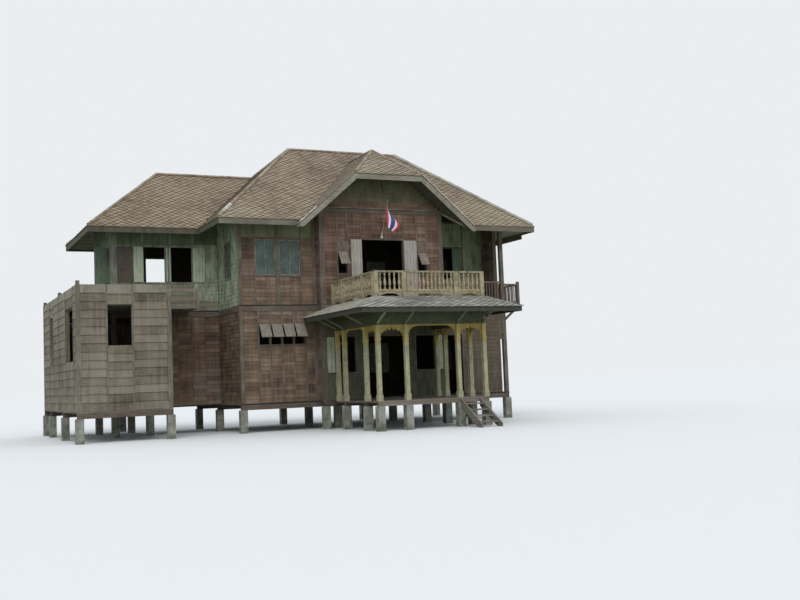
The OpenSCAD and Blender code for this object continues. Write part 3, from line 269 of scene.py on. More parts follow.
# Lapped boards of the walls
# Thin boards are nailed over the walls in short lengths between joint strips, each lapping
# the one below, and each has aged to its own tone. They stand within the posts' thickness.
def solid_boxes(node):
    """Lowest and highest corners of each separate solid of a CAD node. Corners at one place
    are one, and each takes the lowest label of the faces it is on until none changes."""
    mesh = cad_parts[node].data
    places = np.empty(len(mesh.vertices) * 3, np.float32)
    mesh.vertices.foreach_get("co", places)
    faces = np.empty(len(mesh.loops), np.int64)
    mesh.loops.foreach_get("vertex_index", faces)
    points, number = np.unique(np.round(places.reshape(-1, 3), 4), axis=0, return_inverse=True)
    faces = number.reshape(-1)[faces].reshape(-1, 3)
    label = np.arange(len(points))
    while True:
        lowest = label.copy()
        np.minimum.at(lowest, faces.ravel(), np.repeat(label[faces].min(1), 3))
        if (lowest == label).all():
            break
        label = lowest
    return [(points[label == one].min(0).astype(float), points[label == one].max(0).astype(float))
            for one in np.unique(label)]


def block_mesh(name, corners, block_faces, grain, tone):
    """A mesh of blocks with eight corners each, all with the same faces. Each has its own
    grain coordinates, one for each corner, and one tone."""
    mesh = bpy.data.meshes.new(name)
    faces = block_faces + 8 * np.arange(len(corners))[:, None, None]
    mesh.from_pydata(corners.reshape(-1, 3).tolist(), [], faces.reshape(-1, 4).tolist())
    mesh.attributes.new("grain", "FLOAT_VECTOR", "POINT").data.foreach_set(
        "vector", grain.reshape(-1).astype(np.float32))
    mesh.attributes.new("tone", "FLOAT", "POINT").data.foreach_set(
        "value", np.repeat(tone, 8).astype(np.float32))
    return mesh


def add_piece(name, mesh, material):
    """Adds a mesh to the scene as a piece of the house."""
    mesh.materials.append(material)
    piece = add_object(name, mesh)
    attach(piece, "root")
    return piece


board_faces = np.array([[0, 2, 3, 1], [4, 5, 7, 6], [0, 1, 5, 4], [2, 6, 7, 3], [0, 4, 6, 2],
                        [1, 3, 7, 5]])


def boards_mesh(name, runs, material):
    """Joins runs of boards into one piece. A run is its corners, shape (n, 8, 3), its grain
    coordinates of the same shape, and one tone for each board."""
    corners, grain, tone = (np.concatenate(part) for part in zip(*runs))
    return add_piece(name, block_mesh(name, corners, board_faces, grain, tone), material)


def wall_axes(outward):
    """Unit vectors along a wall and into it, from its outward normal, with Z up."""
    inward = -np.asarray(outward, float)
    return np.cross(inward, (0, 0, 1)), inward


def board_run(origin, along, inward, x0, x1, z0, z1, low, high, upright=False, back=0.0):
    """Boards from x0 to x1 and z0 to z1 on a wall. Each is a wedge that stands out by low at
    its foot and by high at its head, from its back at the given depth."""
    shape = np.broadcast_shapes(np.shape(x0), np.shape(z0), np.shape(low))
    x0, x1, z0, z1, low, high = (np.broadcast_to(a, shape).ravel() for a in
                                 (x0, x1, z0, z1, low, high))
    count = len(x0)
    x = np.stack([x0, x1] * 4, 1)
    z = np.stack([z0] * 4 + [z1] * 4, 1)
    y = np.stack([-low, -low, np.full(count, back), np.full(count, back),
                  -high, -high, np.full(count, back), np.full(count, back)], 1)
    corners = (origin + x[..., None] * along + y[..., None] * inward
               + z[..., None] * np.array((0, 0, 1.0)))
    number = rng.uniform(0, 60, count)[:, None] + np.zeros((1, 8))
    grain = np.stack([z, x, number] if upright else [x, z, number], -1)
    return corners, grain, rng.uniform(0, 1, count)


foot_out, head_out, warp = 0.019, 0.007, 0.0025


def lapped(lo, hi, outward, exposure, panel, strip=0.018, lap=1.0):
    """Rows of lapped boards over one solid of a wall, in panels of about the given width with
    an upright strip over each joint. lap multiplies how far their feet stand out."""
    along, inward = wall_axes(outward)
    corner = np.where(along + inward > 0.5, lo, hi).astype(float)
    corner = np.where(np.abs(inward) > 0.5, np.where(inward > 0, lo, hi), corner)
    corner[2] = 0
    width = abs(np.dot(hi - lo, along))
    rows = max(1, round((hi[2] - lo[2]) / exposure))
    cols = max(1, round(width / panel))
    z = np.linspace(lo[2], hi[2], rows + 1)
    x = np.linspace(0, width, cols + 1)
    jitter = rng.uniform(-warp, warp, (rows, cols))
    run = [board_run(corner, along, inward, x[None, :-1] + 0.001, x[None, 1:] - 0.001,
                     z[:-1, None] + 0.001 + 0 * jitter, z[1:, None] + 0 * jitter,
                     foot_out * lap + jitter, head_out + jitter * 0.5)]
    if cols > 1 and strip:
        run.append(board_run(corner, along, inward, x[1:-1] - strip / 2, x[1:-1] + strip / 2,
                             lo[2] + 0 * x[1:-1], hi[2], 0.021, 0.021, upright=True))
    return run


def thin_axis(lo, hi):
    return int(np.argmin((hi - lo)[:2]))


def cover(node, centre, exposure, panel, strip=0.018, lap=1.0, skip=None):
    """Lapped boards over every solid of a wall node, on the side away from the centre. Those
    of the gable bay's side walls stop where the main wall or the verandah's begins."""
    runs = []
    for lo, hi in solid_boxes(node):
        if skip and skip(lo, hi):
            continue
        axis = thin_axis(lo, hi)
        if axis == 0 and lo[1] < -0.2 and hi[1] < 2:
            hi = np.array((hi[0], 1.5 if hi[1] > 1 else 0.0, hi[2]))
        outward = np.zeros(3)
        outward[axis] = 1 if (lo[axis] + hi[axis]) / 2 > centre[axis] else -1
        runs += lapped(lo, hi, outward, exposure, panel, strip, lap)
    return runs


def board_finish(name, tones, grey, green, grey_share=0.45, green_share=0.3, band=None,
                 regions=()):
    """Old boards: fibres run along each, its tone differs a little by its own number, and
    broad patches have gone grey or green. tones are three colours, dark to light."""
    f = Finish(name, 0.87)
    grain, tone = f.own("grain", "Vector"), f.own("tone")
    fibre = f.noise(f.scaled(grain, 3.0, 46.0, 1.0), 1.0, 5, 0.6)
    broad = f.noise(f.place, 1.0, 6, 0.62)
    streak = f.noise(f.scaled(f.place, 9.0, 9.0, 0.7), 1.0, 4)
    mixed = tone * 0.15 + fibre * 0.3 + broad * 0.55 + streak * 0.32
    colour = f.node("ValToRGB", {"stops": list(zip((0.48, 0.66, 0.86), tones))}, {0: mixed})
    faded = f.between(f.noise(f.place, 0.6, 5, 0.6) * 0.7 + streak * 0.2 + tone * 0.12,
                      0.66 - 0.3 * grey_share, 0.86 - 0.3 * grey_share)
    colour = f.blend(faded * 0.8, colour, grey)
    damp = f.between(f.noise(f.place, 0.8, 5, 0.6) * 0.7 + streak * 0.3, 0.66 - 0.3 * green_share,
                     0.86 - 0.3 * green_share)
    if band:
        damp = damp * f.along("Z", *band)
    colour = f.repaint(f.blend(damp * 0.75, colour, green), regions)
    return f.wear(colour, fibre, 0.003, 0.6)


red_tones = [(0.062, 0.038, 0.025), (0.155, 0.1, 0.066), (0.28, 0.19, 0.13)]
bay_west, bay_east = 3.0, 8.13
under_eaves = {"X": (0.1, 8.1), "Y": (-1, 1), "Z": (7.1, 8)}
left_wall = {"X": (-9, 0.03), "Z": (4.58, 9)}
verandah_wall = {"X": (8.1, 10.95), "Y": (0.6, 1.8), "Z": (4.58, 8)}
verandah_end = {"X": (10.8, 10.97), "Y": (-0.2, 1.8), "Z": (5.7, 8)}
porch_wall = {"X": (bay_west, bay_east), "Y": (-1, 0.2), "Z": (0, 4.3)}
low_right_wall = {"X": (bay_east, 12), "Y": (-1, 0.2), "Z": (0, 4.3)}
porch_green = (0.1, 0.12, 0.075), (0.06, 0.062, 0.04)
red_boards = board_finish("red_boards", red_tones, (0.2, 0.175, 0.14), (0.1, 0.12, 0.055), regions=[
    (under_eaves, (0.175, 0.21, 0.11), (0.15, 0.13, 0.09), 0.75),
    (left_wall, (0.42, 0.5, 0.35), (0.2, 0.22, 0.14), 0.85),
    (verandah_wall, (0.29, 0.35, 0.21), (0.16, 0.18, 0.11), 0.85),
    (verandah_end, (0.22, 0.25, 0.13), (0.11, 0.09, 0.06), 0.6),
    (porch_wall, *porch_green, 0.85),
    (low_right_wall, (0.1, 0.08, 0.058), (0.065, 0.052, 0.04), 0.7)])
main_walls = ("lower_front_wall", "lower_side_walls", "lower_back_wall", "upper_front_wall",
              "upper_side_walls", "upper_back_wall")
main_centre = (5.5, 3.2)
board_rise, board_length = 0.15, 0.48
runs = []
for node in main_walls:
    runs += cover(node, main_centre, board_rise, board_length)
# The short side wall at the verandah's end is boarded on its inner face as well.
for lo, hi in solid_boxes("upper_side_walls"):
    if lo[0] > 10.9 and hi[1] < 1.8:
        runs += lapped(lo, hi, (-1, 0, 0), board_rise, board_length)
boards_mesh("lapped_boards_main", runs, red_boards)
inner_boards = timber("inner_boards", (0.035, 0.024, 0.018), (0.085, 0.06, 0.045),
                      (0.12, 0.1, 0.08), flat, 0.3)
dress(inner_boards, *main_walls, "gable_wall")

# The gable wall is boarded the same way, and its peak follows the rakes under the short
# eave that clips it. The boards up there are green with damp. A drip board runs under them,
# and two short battens stand near the top.
gable_mid, gable_face, gable_pitch = 5.565, -0.39, 41.1
peak_foot, peak_apex, peak_boards = 8.182, 10.42, 7
to_right, to_back = wall_axes((0, -1, 0))


def in_peak(lo, hi):
    return hi[2] > 8.15


runs = cover("gable_wall", (gable_mid, 3.2), board_rise, board_length, skip=in_peak)
peak_top = [hi[2] for lo, hi in solid_boxes("gable_wall") if in_peak(lo, hi)][0]
levels = np.linspace(peak_foot, peak_top, round((peak_top - peak_foot) / board_rise) + 1)
half = (peak_apex - levels[1:]) / math.tan(math.radians(gable_pitch))
edges = np.linspace(-1, 1, peak_boards + 1)
x0 = gable_mid + half[:, None] * edges[None, :-1] + 0.001
x1 = gable_mid + half[:, None] * edges[None, 1:] - 0.001
jitter = rng.uniform(-warp, warp, x0.shape)
gable_corner = np.array((0, gable_face, 0))
runs.append(board_run(gable_corner, to_right, to_back, x0, x1, levels[:-1, None] + 0 * x0,
                      levels[1:, None] + 0 * x0, foot_out + jitter, head_out + jitter))
gable_tones = [(0.055, 0.028, 0.018), (0.14, 0.078, 0.052), (0.26, 0.165, 0.118)]
gable_boards = board_finish("gable_boards", gable_tones, (0.19, 0.15, 0.115), (0.075, 0.083, 0.035),
                            0.25, 1.2, (8.1, 8.7), [
    ({"Z": (0, 4.3)}, *porch_green, 0.85),
    ({"Z": (8.45, 9.6)}, (0.17, 0.17, 0.105), (0.07, 0.07, 0.045), 0.4)])
boards_mesh("lapped_boards_gable", runs, gable_boards)
drip_paint = timber("drip_paint", (0.12, 0.105, 0.08), (0.27, 0.24, 0.19), (0.4, 0.37, 0.31), flat,
                    0.5, 0.3)
drip = [((bay_west, bay_east), (8.172, 8.197), 0.075), ((5.505, 5.53), (8.92, 9.3), 0.03),
        ((5.965, 5.99), (8.86, 9.3), 0.03)]
runs = [board_run(gable_corner, to_right, to_back, [x0], [x1], [z0], [z1], [out], [out])
        for (x0, x1), (z0, z1), out in drip]
boards_mesh("gable_drip_board", runs, drip_paint)

# Wing boards
# The wing is painted pale green over the same boarding, and the paint has worn. Under the eaves
# it is dark green, partly algae and partly painted shade of the eaves, and the strip beside the main
# block is pale, partly paler paint and partly painted light that lifts the main block's shadow.
wing_front = 2.7
green_tones = [(0.085, 0.085, 0.055), (0.225, 0.25, 0.165), (0.35, 0.38, 0.27)]
wing_finish = board_finish("wing_boards", green_tones, (0.3, 0.29, 0.22), (0.1, 0.17, 0.06),
                           0.4, 0.7, regions=[
    # Dark green under the eaves: partly algae, partly painted shade of the eaves.
    ({"Z": (7.05, 8), "X": (-9, 0)}, (0.095, 0.135, 0.06), (0.06, 0.065, 0.04), 0.7),
    ({"Z": (4, 5.65), "X": (-9, 0)}, (0.27, 0.22, 0.16), (0.16, 0.13, 0.09), 0.45),
    # Pale beside the main block: partly paler paint, partly painted light lifting the main block's
    # shadow.
    ({"Z": (5, 7.1), "X": (-0.95, 0), "Y": (2, 3)}, (0.46, 0.5, 0.37), (0.24, 0.25, 0.17), 0.8)])
boards_mesh("lapped_boards_wing", cover("wing_walls", (-0.5, 4.5), board_rise, 0.6),
            wing_finish)
dress(inner_boards, "wing_walls")

# Annex boards
# The annex is closed by wide bare boards, about twice as wide as the house's, gone grey and
# tan with dark runs of water.
annex_tones = [(0.08, 0.063, 0.045), (0.185, 0.15, 0.112), (0.28, 0.238, 0.182)]
annex_finish = board_finish("annex_boards", annex_tones, (0.215, 0.19, 0.15), (0.11, 0.12, 0.065),
                            0.4, 0.3, regions=[
    ({"Z": (4.98, 9)}, (0.3, 0.275, 0.225), (0.18, 0.16, 0.125), 0.6)])
boards_mesh("wide_boards_annex", cover("annex_walls", (-4.175, 3.2), 0.285, 4.5, strip=0,
                                       lap=1.7), annex_finish)
grey_post = timber("grey_post", (0.08, 0.07, 0.052), (0.185, 0.16, 0.12), (0.28, 0.255, 0.2),
                   upright, 0.7, 0.2)
dress(grey_post, "annex_posts")
dress(timber("annex_inside", (0.09, 0.08, 0.065), (0.2, 0.18, 0.15), (0.26, 0.24, 0.21), flat,
             0.5), "annex_walls")

# Glazed windows
# Three windows keep their glass in small panes, between thin bars of flaking pale paint.
f = Finish("old_glass", 0.38)
dust = f.noise(f.place, 2.2, 4)
colour = f.blend(f.between(dust, 0.35, 0.7), (0.05, 0.074, 0.062), (0.092, 0.13, 0.108))
f.wear(colour, dust, 0.001, 0.05)
dress(f.mat, "window_glass")


def paint_finish(name, paint, worn, dirt, worn_share=0.5, boards=None, regions=()):
    """Old paint on wood: chalky and patchy, flaked to the wood in places, with grime. boards
    are the axes across its boards, their width and, if given, their joints' share of it."""
    f = Finish(name)
    broad = f.noise(f.place, 2.3, 5, 0.6)
    flake = f.noise(f.place, 9.0, 8, 0.72)
    grime = f.noise(f.scaled(f.place, 6.0, 6.0, 2.0), 1.0, 5)
    colour = f.blend(f.between(broad, 0.35, 0.7), paint, tuple(0.8 * c for c in paint))
    bare = f.between(flake, 0.62 - 0.25 * worn_share, 0.68 - 0.25 * worn_share)
    colour = f.blend(bare, colour, worn)
    colour = f.repaint(f.blend(f.between(grime, 0.45, 0.8) * 0.75, colour, dirt), regions)
    relief = (1 - bare) * 0.6 + flake * 0.4
    if boards:
        seam = f.lines(*boards)
        colour = f.blend((1 - seam) * 0.75, colour, tuple(0.35 * c for c in dirt))
        relief = relief * 0.5 + seam
    return f.wear(colour, relief, 0.003, 0.6, 0.55 + bare * 0.35)


sash_paint = paint_finish("sash_paint", (0.24, 0.24, 0.2), (0.16, 0.12, 0.095), (0.1, 0.09, 0.07))
edge_bar, middle_bar, thin_bar = 0.04, 0.028, 0.012
runs = []
for lo, hi in solid_boxes("window_glass"):
    axis = thin_axis(lo, hi)
    outward = np.zeros(3)
    outward[axis] = -1
    along, inward = wall_axes(outward)
    corner = np.where(along + inward > 0.5, lo, hi)
    corner[axis], corner[2] = lo[axis], 0
    width, low, high = abs(np.dot(hi - lo, along)), lo[2], hi[2]
    middle = (width - middle_bar) / 2
    for x, bar in ((0, edge_bar), (width - edge_bar, edge_bar), (middle, middle_bar)):
        runs.append(board_run(corner, along, inward, [x], [x + bar], [low], [high], [0.03], [0.03],
                              True))
    thirds = [low + share * (high - low) - thin_bar / 2 for share in (1 / 3, 2 / 3)]
    for z, bar, out in ((low, edge_bar, 0.028), (high - edge_bar, edge_bar, 0.028),
                        (thirds[0], thin_bar, 0.022), (thirds[1], thin_bar, 0.022)):
        runs.append(board_run(corner, along, inward, [0], [width], [z], [z + bar], [out], [out]))
boards_mesh("sash_bars", runs, sash_paint)
# Two thin pale beads stand on the post between the wing's openings.
runs = [board_run(np.array((0, wing_front, 0)), to_right, to_back, [x], [x + 0.03], [5.7], [6.96],
                  [0.02], [0.02], True) for x in (-1.95, -1.84)]
boards_mesh("wing_window_beads", runs, paint_finish(
    "bead_paint", (0.55, 0.56, 0.5), (0.4, 0.4, 0.34), (0.3, 0.3, 0.24), 0.2))

# Shutters
# Leaves of upright boards stand open against the walls; narrow flaps hang from the heads of
# the small windows and are pushed out at the foot.
upright_boards = ("XY", 0.13)
brown = (0.056, 0.031, 0.017), (0.036, 0.022, 0.013)
# Dark green that is painted shade, laid over the leaf on the wing's far side wall.
painted_shade_green = (0.085, 0.135, 0.075), (0.06, 0.07, 0.045)
dress(paint_finish("leaf_green", (0.46, 0.5, 0.37), (0.4, 0.4, 0.3), (0.22, 0.23, 0.15), 0.3,
                   boards=upright_boards, regions=[
    ({"X": (-3.8, -3.2), "Y": (2, 3)}, *brown, 0.95), ({"X": (-9, -3.98)}, *painted_shade_green, 0.95),
    ({"X": (8.2, 10.2), "Y": (0.3, 2.5)}, (0.072, 0.148, 0.07), (0.052, 0.078, 0.042), 0.9)]),
      "window_shutters")
dress(paint_finish("leaf_pale", (0.4, 0.36, 0.32), (0.33, 0.28, 0.24), (0.2, 0.17, 0.15), 0.2,
                   boards=upright_boards, regions=[
    ({"X": (3, 4.12)}, red_tones[1], red_tones[0], 0.9),
    ({"X": (7.02, 8)}, red_tones[1], red_tones[0], 0.9)]), "gable_shutters")
dress(paint_finish("flap_paint", (0.24, 0.2, 0.165), (0.17, 0.135, 0.105), (0.12, 0.1, 0.08), 0.4,
                   boards=upright_boards), "awning_flaps")

# Porch
# Square columns with neck mouldings carry a deep frieze and a cusped fretwork arch in each
# bay, over a boarded floor. The columns and arches are painted in patchy yellows, the
# frieze olive, and the struts that carry the eaves pale green.
yellow = paint_finish("column_paint", (0.43, 0.395, 0.25), (0.3, 0.28, 0.19),
                      (0.155, 0.15, 0.09), 0.35, regions=[
    ({"Z": (2.9, 4)}, (0.48, 0.35, 0.09), (0.31, 0.26, 0.1), 0.75)])
mustard = paint_finish("fret_paint", (0.4, 0.27, 0.06), (0.25, 0.19, 0.06), (0.16, 0.115, 0.04),
                       0.35, regions=[({"Z": (2, 3.24)}, (0.5, 0.32, 0.065), (0.27, 0.26, 0.07), 0.6)])
olive = paint_finish("frieze_paint", (0.085, 0.088, 0.042), (0.065, 0.067, 0.036),
                     (0.045, 0.05, 0.03), boards=("Z", 0.28, 0.04))
pale_green = paint_finish("strut_paint", (0.2, 0.22, 0.14), (0.14, 0.14, 0.09),
                          (0.09, 0.095, 0.06), 0.3, regions=[
    ({"X": (3, 4.3), "Y": (-5.5, -4.2)}, (0.36, 0.4, 0.28), (0.25, 0.26, 0.18), 0.8)])
dress(yellow, "porch_columns")
dress(mustard, "porch_brackets")
dress(olive, "porch_frieze")
dress(pale_green, "eave_struts")

# Balustrade and railings
# The balcony's turned balusters stand between square newels under a broad rail. Their cream
# paint has gone tan, and the top of the rail is green and black with growth.
cream = paint_finish("rail_cream", (0.42, 0.345, 0.21), (0.255, 0.21, 0.14), (0.11, 0.11, 0.06),
                     0.45, regions=[
    ({"Z": (5.34, 5.6)}, (0.3, 0.27, 0.18), (0.075, 0.085, 0.04), 0.8),
    ({"Z": (4.4, 4.63)}, (0.33, 0.24, 0.175), (0.13, 0.14, 0.07), 0.7)])
dress(cream, "balcony_front_rail", "balcony_side_rails")
dress(timber("dark_rail", (0.075, 0.055, 0.045), (0.2, 0.145, 0.115), (0.27, 0.24, 0.2), upright,
             0.4, 0.2), "verandah_rails", "side_landing")


# Roof tiles
# Square cement tiles laid cornerwise, in rows that lap half of the row below, so that each
# shows as a diamond 0.30 m wide. They are brown, tan and grey with lichen.
tile_wide, tile_row, tile_thick = 0.3, 0.108, 0.014
tile_faces = np.array([[3, 2, 1, 0], [4, 5, 6, 7], [0, 1, 5, 4], [1, 2, 6, 5], [2, 3, 7, 6],
                       [3, 0, 4, 7]])


def tile_field(origin, across, up, length, run, keep=None, cuts=()):
    """Tiles over one slope, in rows from its eave. Each is a thin plate with a corner down
    the slope, tilted to lap the row below. keep says which tile places are tiled, and cuts
    are planes, point and outward normal, that trim the field."""
    origin, across, up = (np.asarray(v, float) for v in (origin, across, up))
    normal = np.cross(across, up)
    rows = np.arange(-2, math.ceil(run / tile_row))
    cols = np.arange(-1, math.ceil(length / tile_wide) + 1)
    j, i = (a.ravel() for a in np.meshgrid(rows, cols, indexing="ij"))
    x = i * tile_wide + (j % 2) * tile_wide / 2 + rng.normal(0, 0.002, len(i))
    y = j * tile_row + rng.normal(0, 0.002, len(i))
    centre = origin + x[:, None] * across + (y + tile_row)[:, None] * up
    if keep is not None:
        chosen = keep(centre)
        x, y = x[chosen], y[chosen]
    count = len(x)
    half_w = tile_wide / 2 - 0.004
    # Corners of one tile: foot, right, head, left
    px = np.array([0, half_w, 0, -half_w])
    py = np.array([0, tile_row, 2 * tile_row + 0.03, tile_row])
    top = np.array([0.036, 0.025, 0.012, 0.025])
    lift = rng.normal(0, 0.0018, (count, 1))
    tip = rng.normal(0, 0.02, (count, 1))
    tx = x[:, None] + px + tip * 0.1 * py
    ty = y[:, None] + py
    high = top + lift
    place = [origin + tx[..., None] * across + ty[..., None] * up + h[..., None] * normal
             for h in (high - tile_thick, high)]
    corners = np.concatenate(place, 1)
    local = np.stack([np.tile(px, 2) + 0 * corners[..., 0], np.tile(py, 2) + 0 * corners[..., 0],
                      rng.uniform(0, 60, count)[:, None] + 0 * corners[..., 0]], -1)
    # The first rows are cut off straight 7 cm outside the eave
    straight = (origin - 0.07 * up, np.cross(across, (0, 0, 1.0)))
    return corners, local, rng.uniform(0, 1, count), [straight, *cuts]


def tile_mesh(name, fields, material):
    """One piece from tile fields, each trimmed by its own planes and closed where it is cut."""
    whole = bmesh.new()
    whole.verts.layers.float.new("tone")
    whole.verts.layers.float_vector.new("grain")
    for corners, local, tone, cuts in fields:
        mesh = block_mesh("field", corners, tile_faces, local, tone)
        part = bmesh.new()
        part.from_mesh(mesh)
        for point, outward in cuts:
            geometry = part.verts[:] + part.edges[:] + part.faces[:]
            bmesh.ops.bisect_plane(part, geom=geometry, plane_co=point, plane_no=outward,
                                   clear_outer=True)
            rim = [e for e in part.edges if e.is_boundary]
            bmesh.ops.holes_fill(part, edges=rim, sides=0)
        part.to_mesh(mesh)
        part.free()
        whole.from_mesh(mesh)
        bpy.data.meshes.remove(mesh)
    mesh = bpy.data.meshes.new(name)
    whole.to_mesh(mesh)
    whole.free()
    return add_piece(name, mesh, material)


def tile_finish(name, tones, lichen, edge_shade_and_grime, regions=()):
    """Cement tiles: each has its own tone, broad patches are browner or greyer, the lower
    edges are darkened by painted shadow of each tile's thick edge and by grime, and pale lichen spots
    them."""
    f = Finish(name, 0.9)
    local, tone = f.own("grain", "Vector"), f.own("tone")
    broad = f.noise(f.place, 0.45, 5, 0.6)
    spots = f.noise(f.place, 9.0, 6, 0.7)
    fine = f.noise(f.place, 60.0, 4, 0.6)
    mixed = tone * 0.15 + broad * 0.6 + spots * 0.2
    colour = f.node("ValToRGB", {"stops": list(zip((0.3, 0.44, 0.54, 0.68), tones))}, {0: mixed})
    colour = f.blend(f.between(spots, 0.6, 0.72) * 0.5, colour, lichen)
    off_centre = f.part(local, "X").through("ABSOLUTE")
    from_edge = f.part(local, "Y") - off_centre * (2 * tile_row / tile_wide)
    # Painted shadow and grime: a dark line along each tile's two lower edges.
    colour = f.blend((1 - f.between(from_edge, 0.006, 0.036)) * 0.85, colour, edge_shade_and_grime)
    colour = f.repaint(colour, regions)
    return f.wear(colour, fine * 0.5 + spots * 0.5, 0.004, 0.6)


tile_tones = np.array([(0.165, 0.122, 0.085), (0.275, 0.213, 0.148), (0.335, 0.272, 0.19),
                       (0.37, 0.33, 0.245)])
# The last colour given to each tile finish here is the painted shadow and grime along the tiles' lower
# edges.
tile_brown, tile_wing, tile_pale = (
    tile_finish(name, [tuple(tone) for tone in tile_tones * share], (0.42, 0.4, 0.33),
                (0.065, 0.05, 0.036))
    for name, share in (("tile_brown", 1.0), ("tile_wing", (0.9, 0.86, 0.84)),
                        ("tile_gable", (1.1, 1.14, 1.16))))
eave, over = 7.63, 0.92
main_w, main_d = 11.1, 6.4
slope = {name: math.radians(a) for name, a in
         dict(main=40.27, wing=42.1, end=39.2, gable=gable_pitch, clip=38.4).items()}
rise = {name: math.tan(a) for name, a in slope.items()}
half_d = main_d / 2 + over
west, east, south, north = -over, main_w + over, -over, main_d + over
ridge = eave + half_d * rise["main"]
wing_south = wing_front - over
wing_run = 1.85 + over
wing_ridge = eave + wing_run * rise["wing"]
wing_west = -4.0 - over
wing_end_run = (wing_ridge - eave) / rise["end"]
wing_mid = 4.55
wing_east = west + (wing_ridge - eave) / rise["main"]
gable_top, clip_low, rake_y = 10.57, 9.39, -1.24
rake_half = (gable_top - eave) / rise["gable"]
clip_half = (gable_top - clip_low) / rise["gable"]
clip_run = (gable_top - clip_low) / rise["clip"]
clip_left = (gable_mid - clip_half, rake_y, clip_low)
clip_right = (gable_mid + clip_half, rake_y, clip_low)
no_roof = -9


def main_surface(p):
    """Height of the main roof's surface over points in plan, the lowest of its four slopes."""
    inset = np.minimum.reduce([p[:, 0] - west, east - p[:, 0], p[:, 1] - south, north - p[:, 1]])
    return np.where(inset > -0.01, eave + inset * rise["main"], no_roof)


def wing_surface(p):
    """Height of the wing roof's surface, the lowest of its two long slopes and its end."""
    fall = np.minimum((wing_run - np.abs(p[:, 1] - wing_mid)) * rise["wing"],
                      (p[:, 0] - wing_west) * rise["end"])
    return np.where((fall > -0.01) & (p[:, 0] < wing_east), eave + fall, no_roof)


def gable_surface(p):
    """Height of the gable roof's surface, its two slopes and the short one that clips them."""
    fall = gable_top - np.abs(p[:, 0] - gable_mid) * rise["gable"]
    clip = clip_low + (p[:, 1] - rake_y) * rise["clip"]
    covered = (p[:, 1] > rake_y) & (p[:, 1] < main_d / 2)
    return np.where(covered, np.minimum(fall, clip), no_roof)


def above_others(*others):
    """Keeps the tiles that lie no deeper than 5 cm under the other roofs' surfaces."""
    return lambda p: np.all([p[:, 2] > other(p) - 0.05 for other in others], axis=0)


def slope_up(kind, x, y):
    """Unit vector up a slope whose plan direction is (x, y)."""
    return np.array((x * math.cos(slope[kind]), y * math.cos(slope[kind]),
                     math.sin(slope[kind])))


south_west, south_east, north_west, north_east = (
    (x, y, eave) for y in (south, north) for x in (west, east))
main_middle = (0, main_d / 2, 0)
main_run = half_d / math.cos(slope["main"])
fields = [
    tile_field(south_west, (1, 0, 0), slope_up("main", 0, 1), east - west, main_run,
               above_others(gable_surface, wing_surface),
               [(south_west, (-1, 1, 0)), (south_east, (1, 1, 0)), (main_middle, (0, 1, 0))]),
    tile_field(north_east, (-1, 0, 0), slope_up("main", 0, -1), east - west, main_run,
               above_others(wing_surface),
               [(north_west, (-1, -1, 0)), (north_east, (1, -1, 0)), (main_middle, (0, -1, 0))]),
    tile_field(north_west, (0, -1, 0), slope_up("main", 1, 0), north - south, main_run,
               above_others(wing_surface), [(south_west, (1, -1, 0)), (north_west, (1, 1, 0))]),
    tile_field(south_east, (0, 1, 0), slope_up("main", -1, 0), north - south, main_run,
               above_others(gable_surface),
               [(south_east, (-1, -1, 0)), (north_east, (-1, 1, 0))]),
]
tile_mesh("tiles_main", fields, tile_brown)
wing_corner, wing_back = (wing_west, wing_south, eave), (wing_west, north, eave)
wing_middle, wing_stop = (0, wing_mid, 0), ((wing_east, 0, 0), (1, 0, 0))
wing_length, wing_side_run = wing_east - wing_west, wing_run / math.cos(slope["wing"])
fields = [
    tile_field(wing_corner, (1, 0, 0), slope_up("wing", 0, 1), wing_length, wing_side_run,
               above_others(main_surface),
               [(wing_corner, (-wing_run, wing_end_run, 0)), (wing_middle, (0, 1, 0)), wing_stop]),
    tile_field((wing_east, north, eave), (-1, 0, 0), slope_up("wing", 0, -1), wing_length,
               wing_side_run, above_others(main_surface),
               [(wing_back, (-wing_run, -wing_end_run, 0)), (wing_middle, (0, -1, 0)), wing_stop]),
    tile_field(wing_back, (0, -1, 0), slope_up("end", 1, 0), 2 * wing_run,
               wing_end_run / math.cos(slope["end"]), None,
               [(wing_corner, (wing_run, -wing_end_run, 0)),
                (wing_back, (wing_run, wing_end_run, 0))]),
]
tile_mesh("tiles_wing", fields, tile_wing)
tail = 0.2
tail_z = eave - tail * rise["gable"]
fields = []
for sign in (-1, 1):
    foot = gable_mid + sign * (rake_half + tail)
    start = main_d / 2 if sign < 0 else rake_y
    fields.append(tile_field(
        (foot, start, tail_z), (0, sign, 0), slope_up("gable", -sign, 0),
        main_d / 2 - rake_y, (rake_half + tail) / math.cos(slope["gable"]),
        above_others(main_surface),
        [((0, rake_y, 0), (0, -1, 0)), ((gable_mid, 0, 0), (-sign, 0, 0)),
         ((gable_mid + sign * clip_half, rake_y, 0), (-sign * clip_run, -clip_half, 0))]))
fields.append(tile_field(
    clip_left, (1, 0, 0), slope_up("clip", 0, 1), 2 * clip_half,
    clip_run / math.cos(slope["clip"]), None,
    [(clip_left, (-clip_run, clip_half, 0)), (clip_right, (clip_run, clip_half, 0))]))
tile_mesh("tiles_gable", fields, tile_pale)

# The undersides of the roofs are grey boards, cleaner and greener at the right end of the
# main roof, and dark under the gable's.
soffit = (0.11, 0.105, 0.078), (0.27, 0.26, 0.2), (0.34, 0.34, 0.27)
dress(timber("roof_underside", *soffit, flat, 0.4, 0.4), "wing_roof", "porch_roof")
dress(timber("eave_underside", *soffit, flat, 0.4, 0.4, [
    ({"X": (8.2, 13), "Y": (-1, 8)}, (0.5, 0.56, 0.42), (0.33, 0.35, 0.26), 0.75)]), "main_roof")
dress(timber("gable_underside", (0.05, 0.04, 0.03), (0.12, 0.1, 0.075), (0.16, 0.14, 0.11), flat,
             0.3, 0.3), "gable_roof")
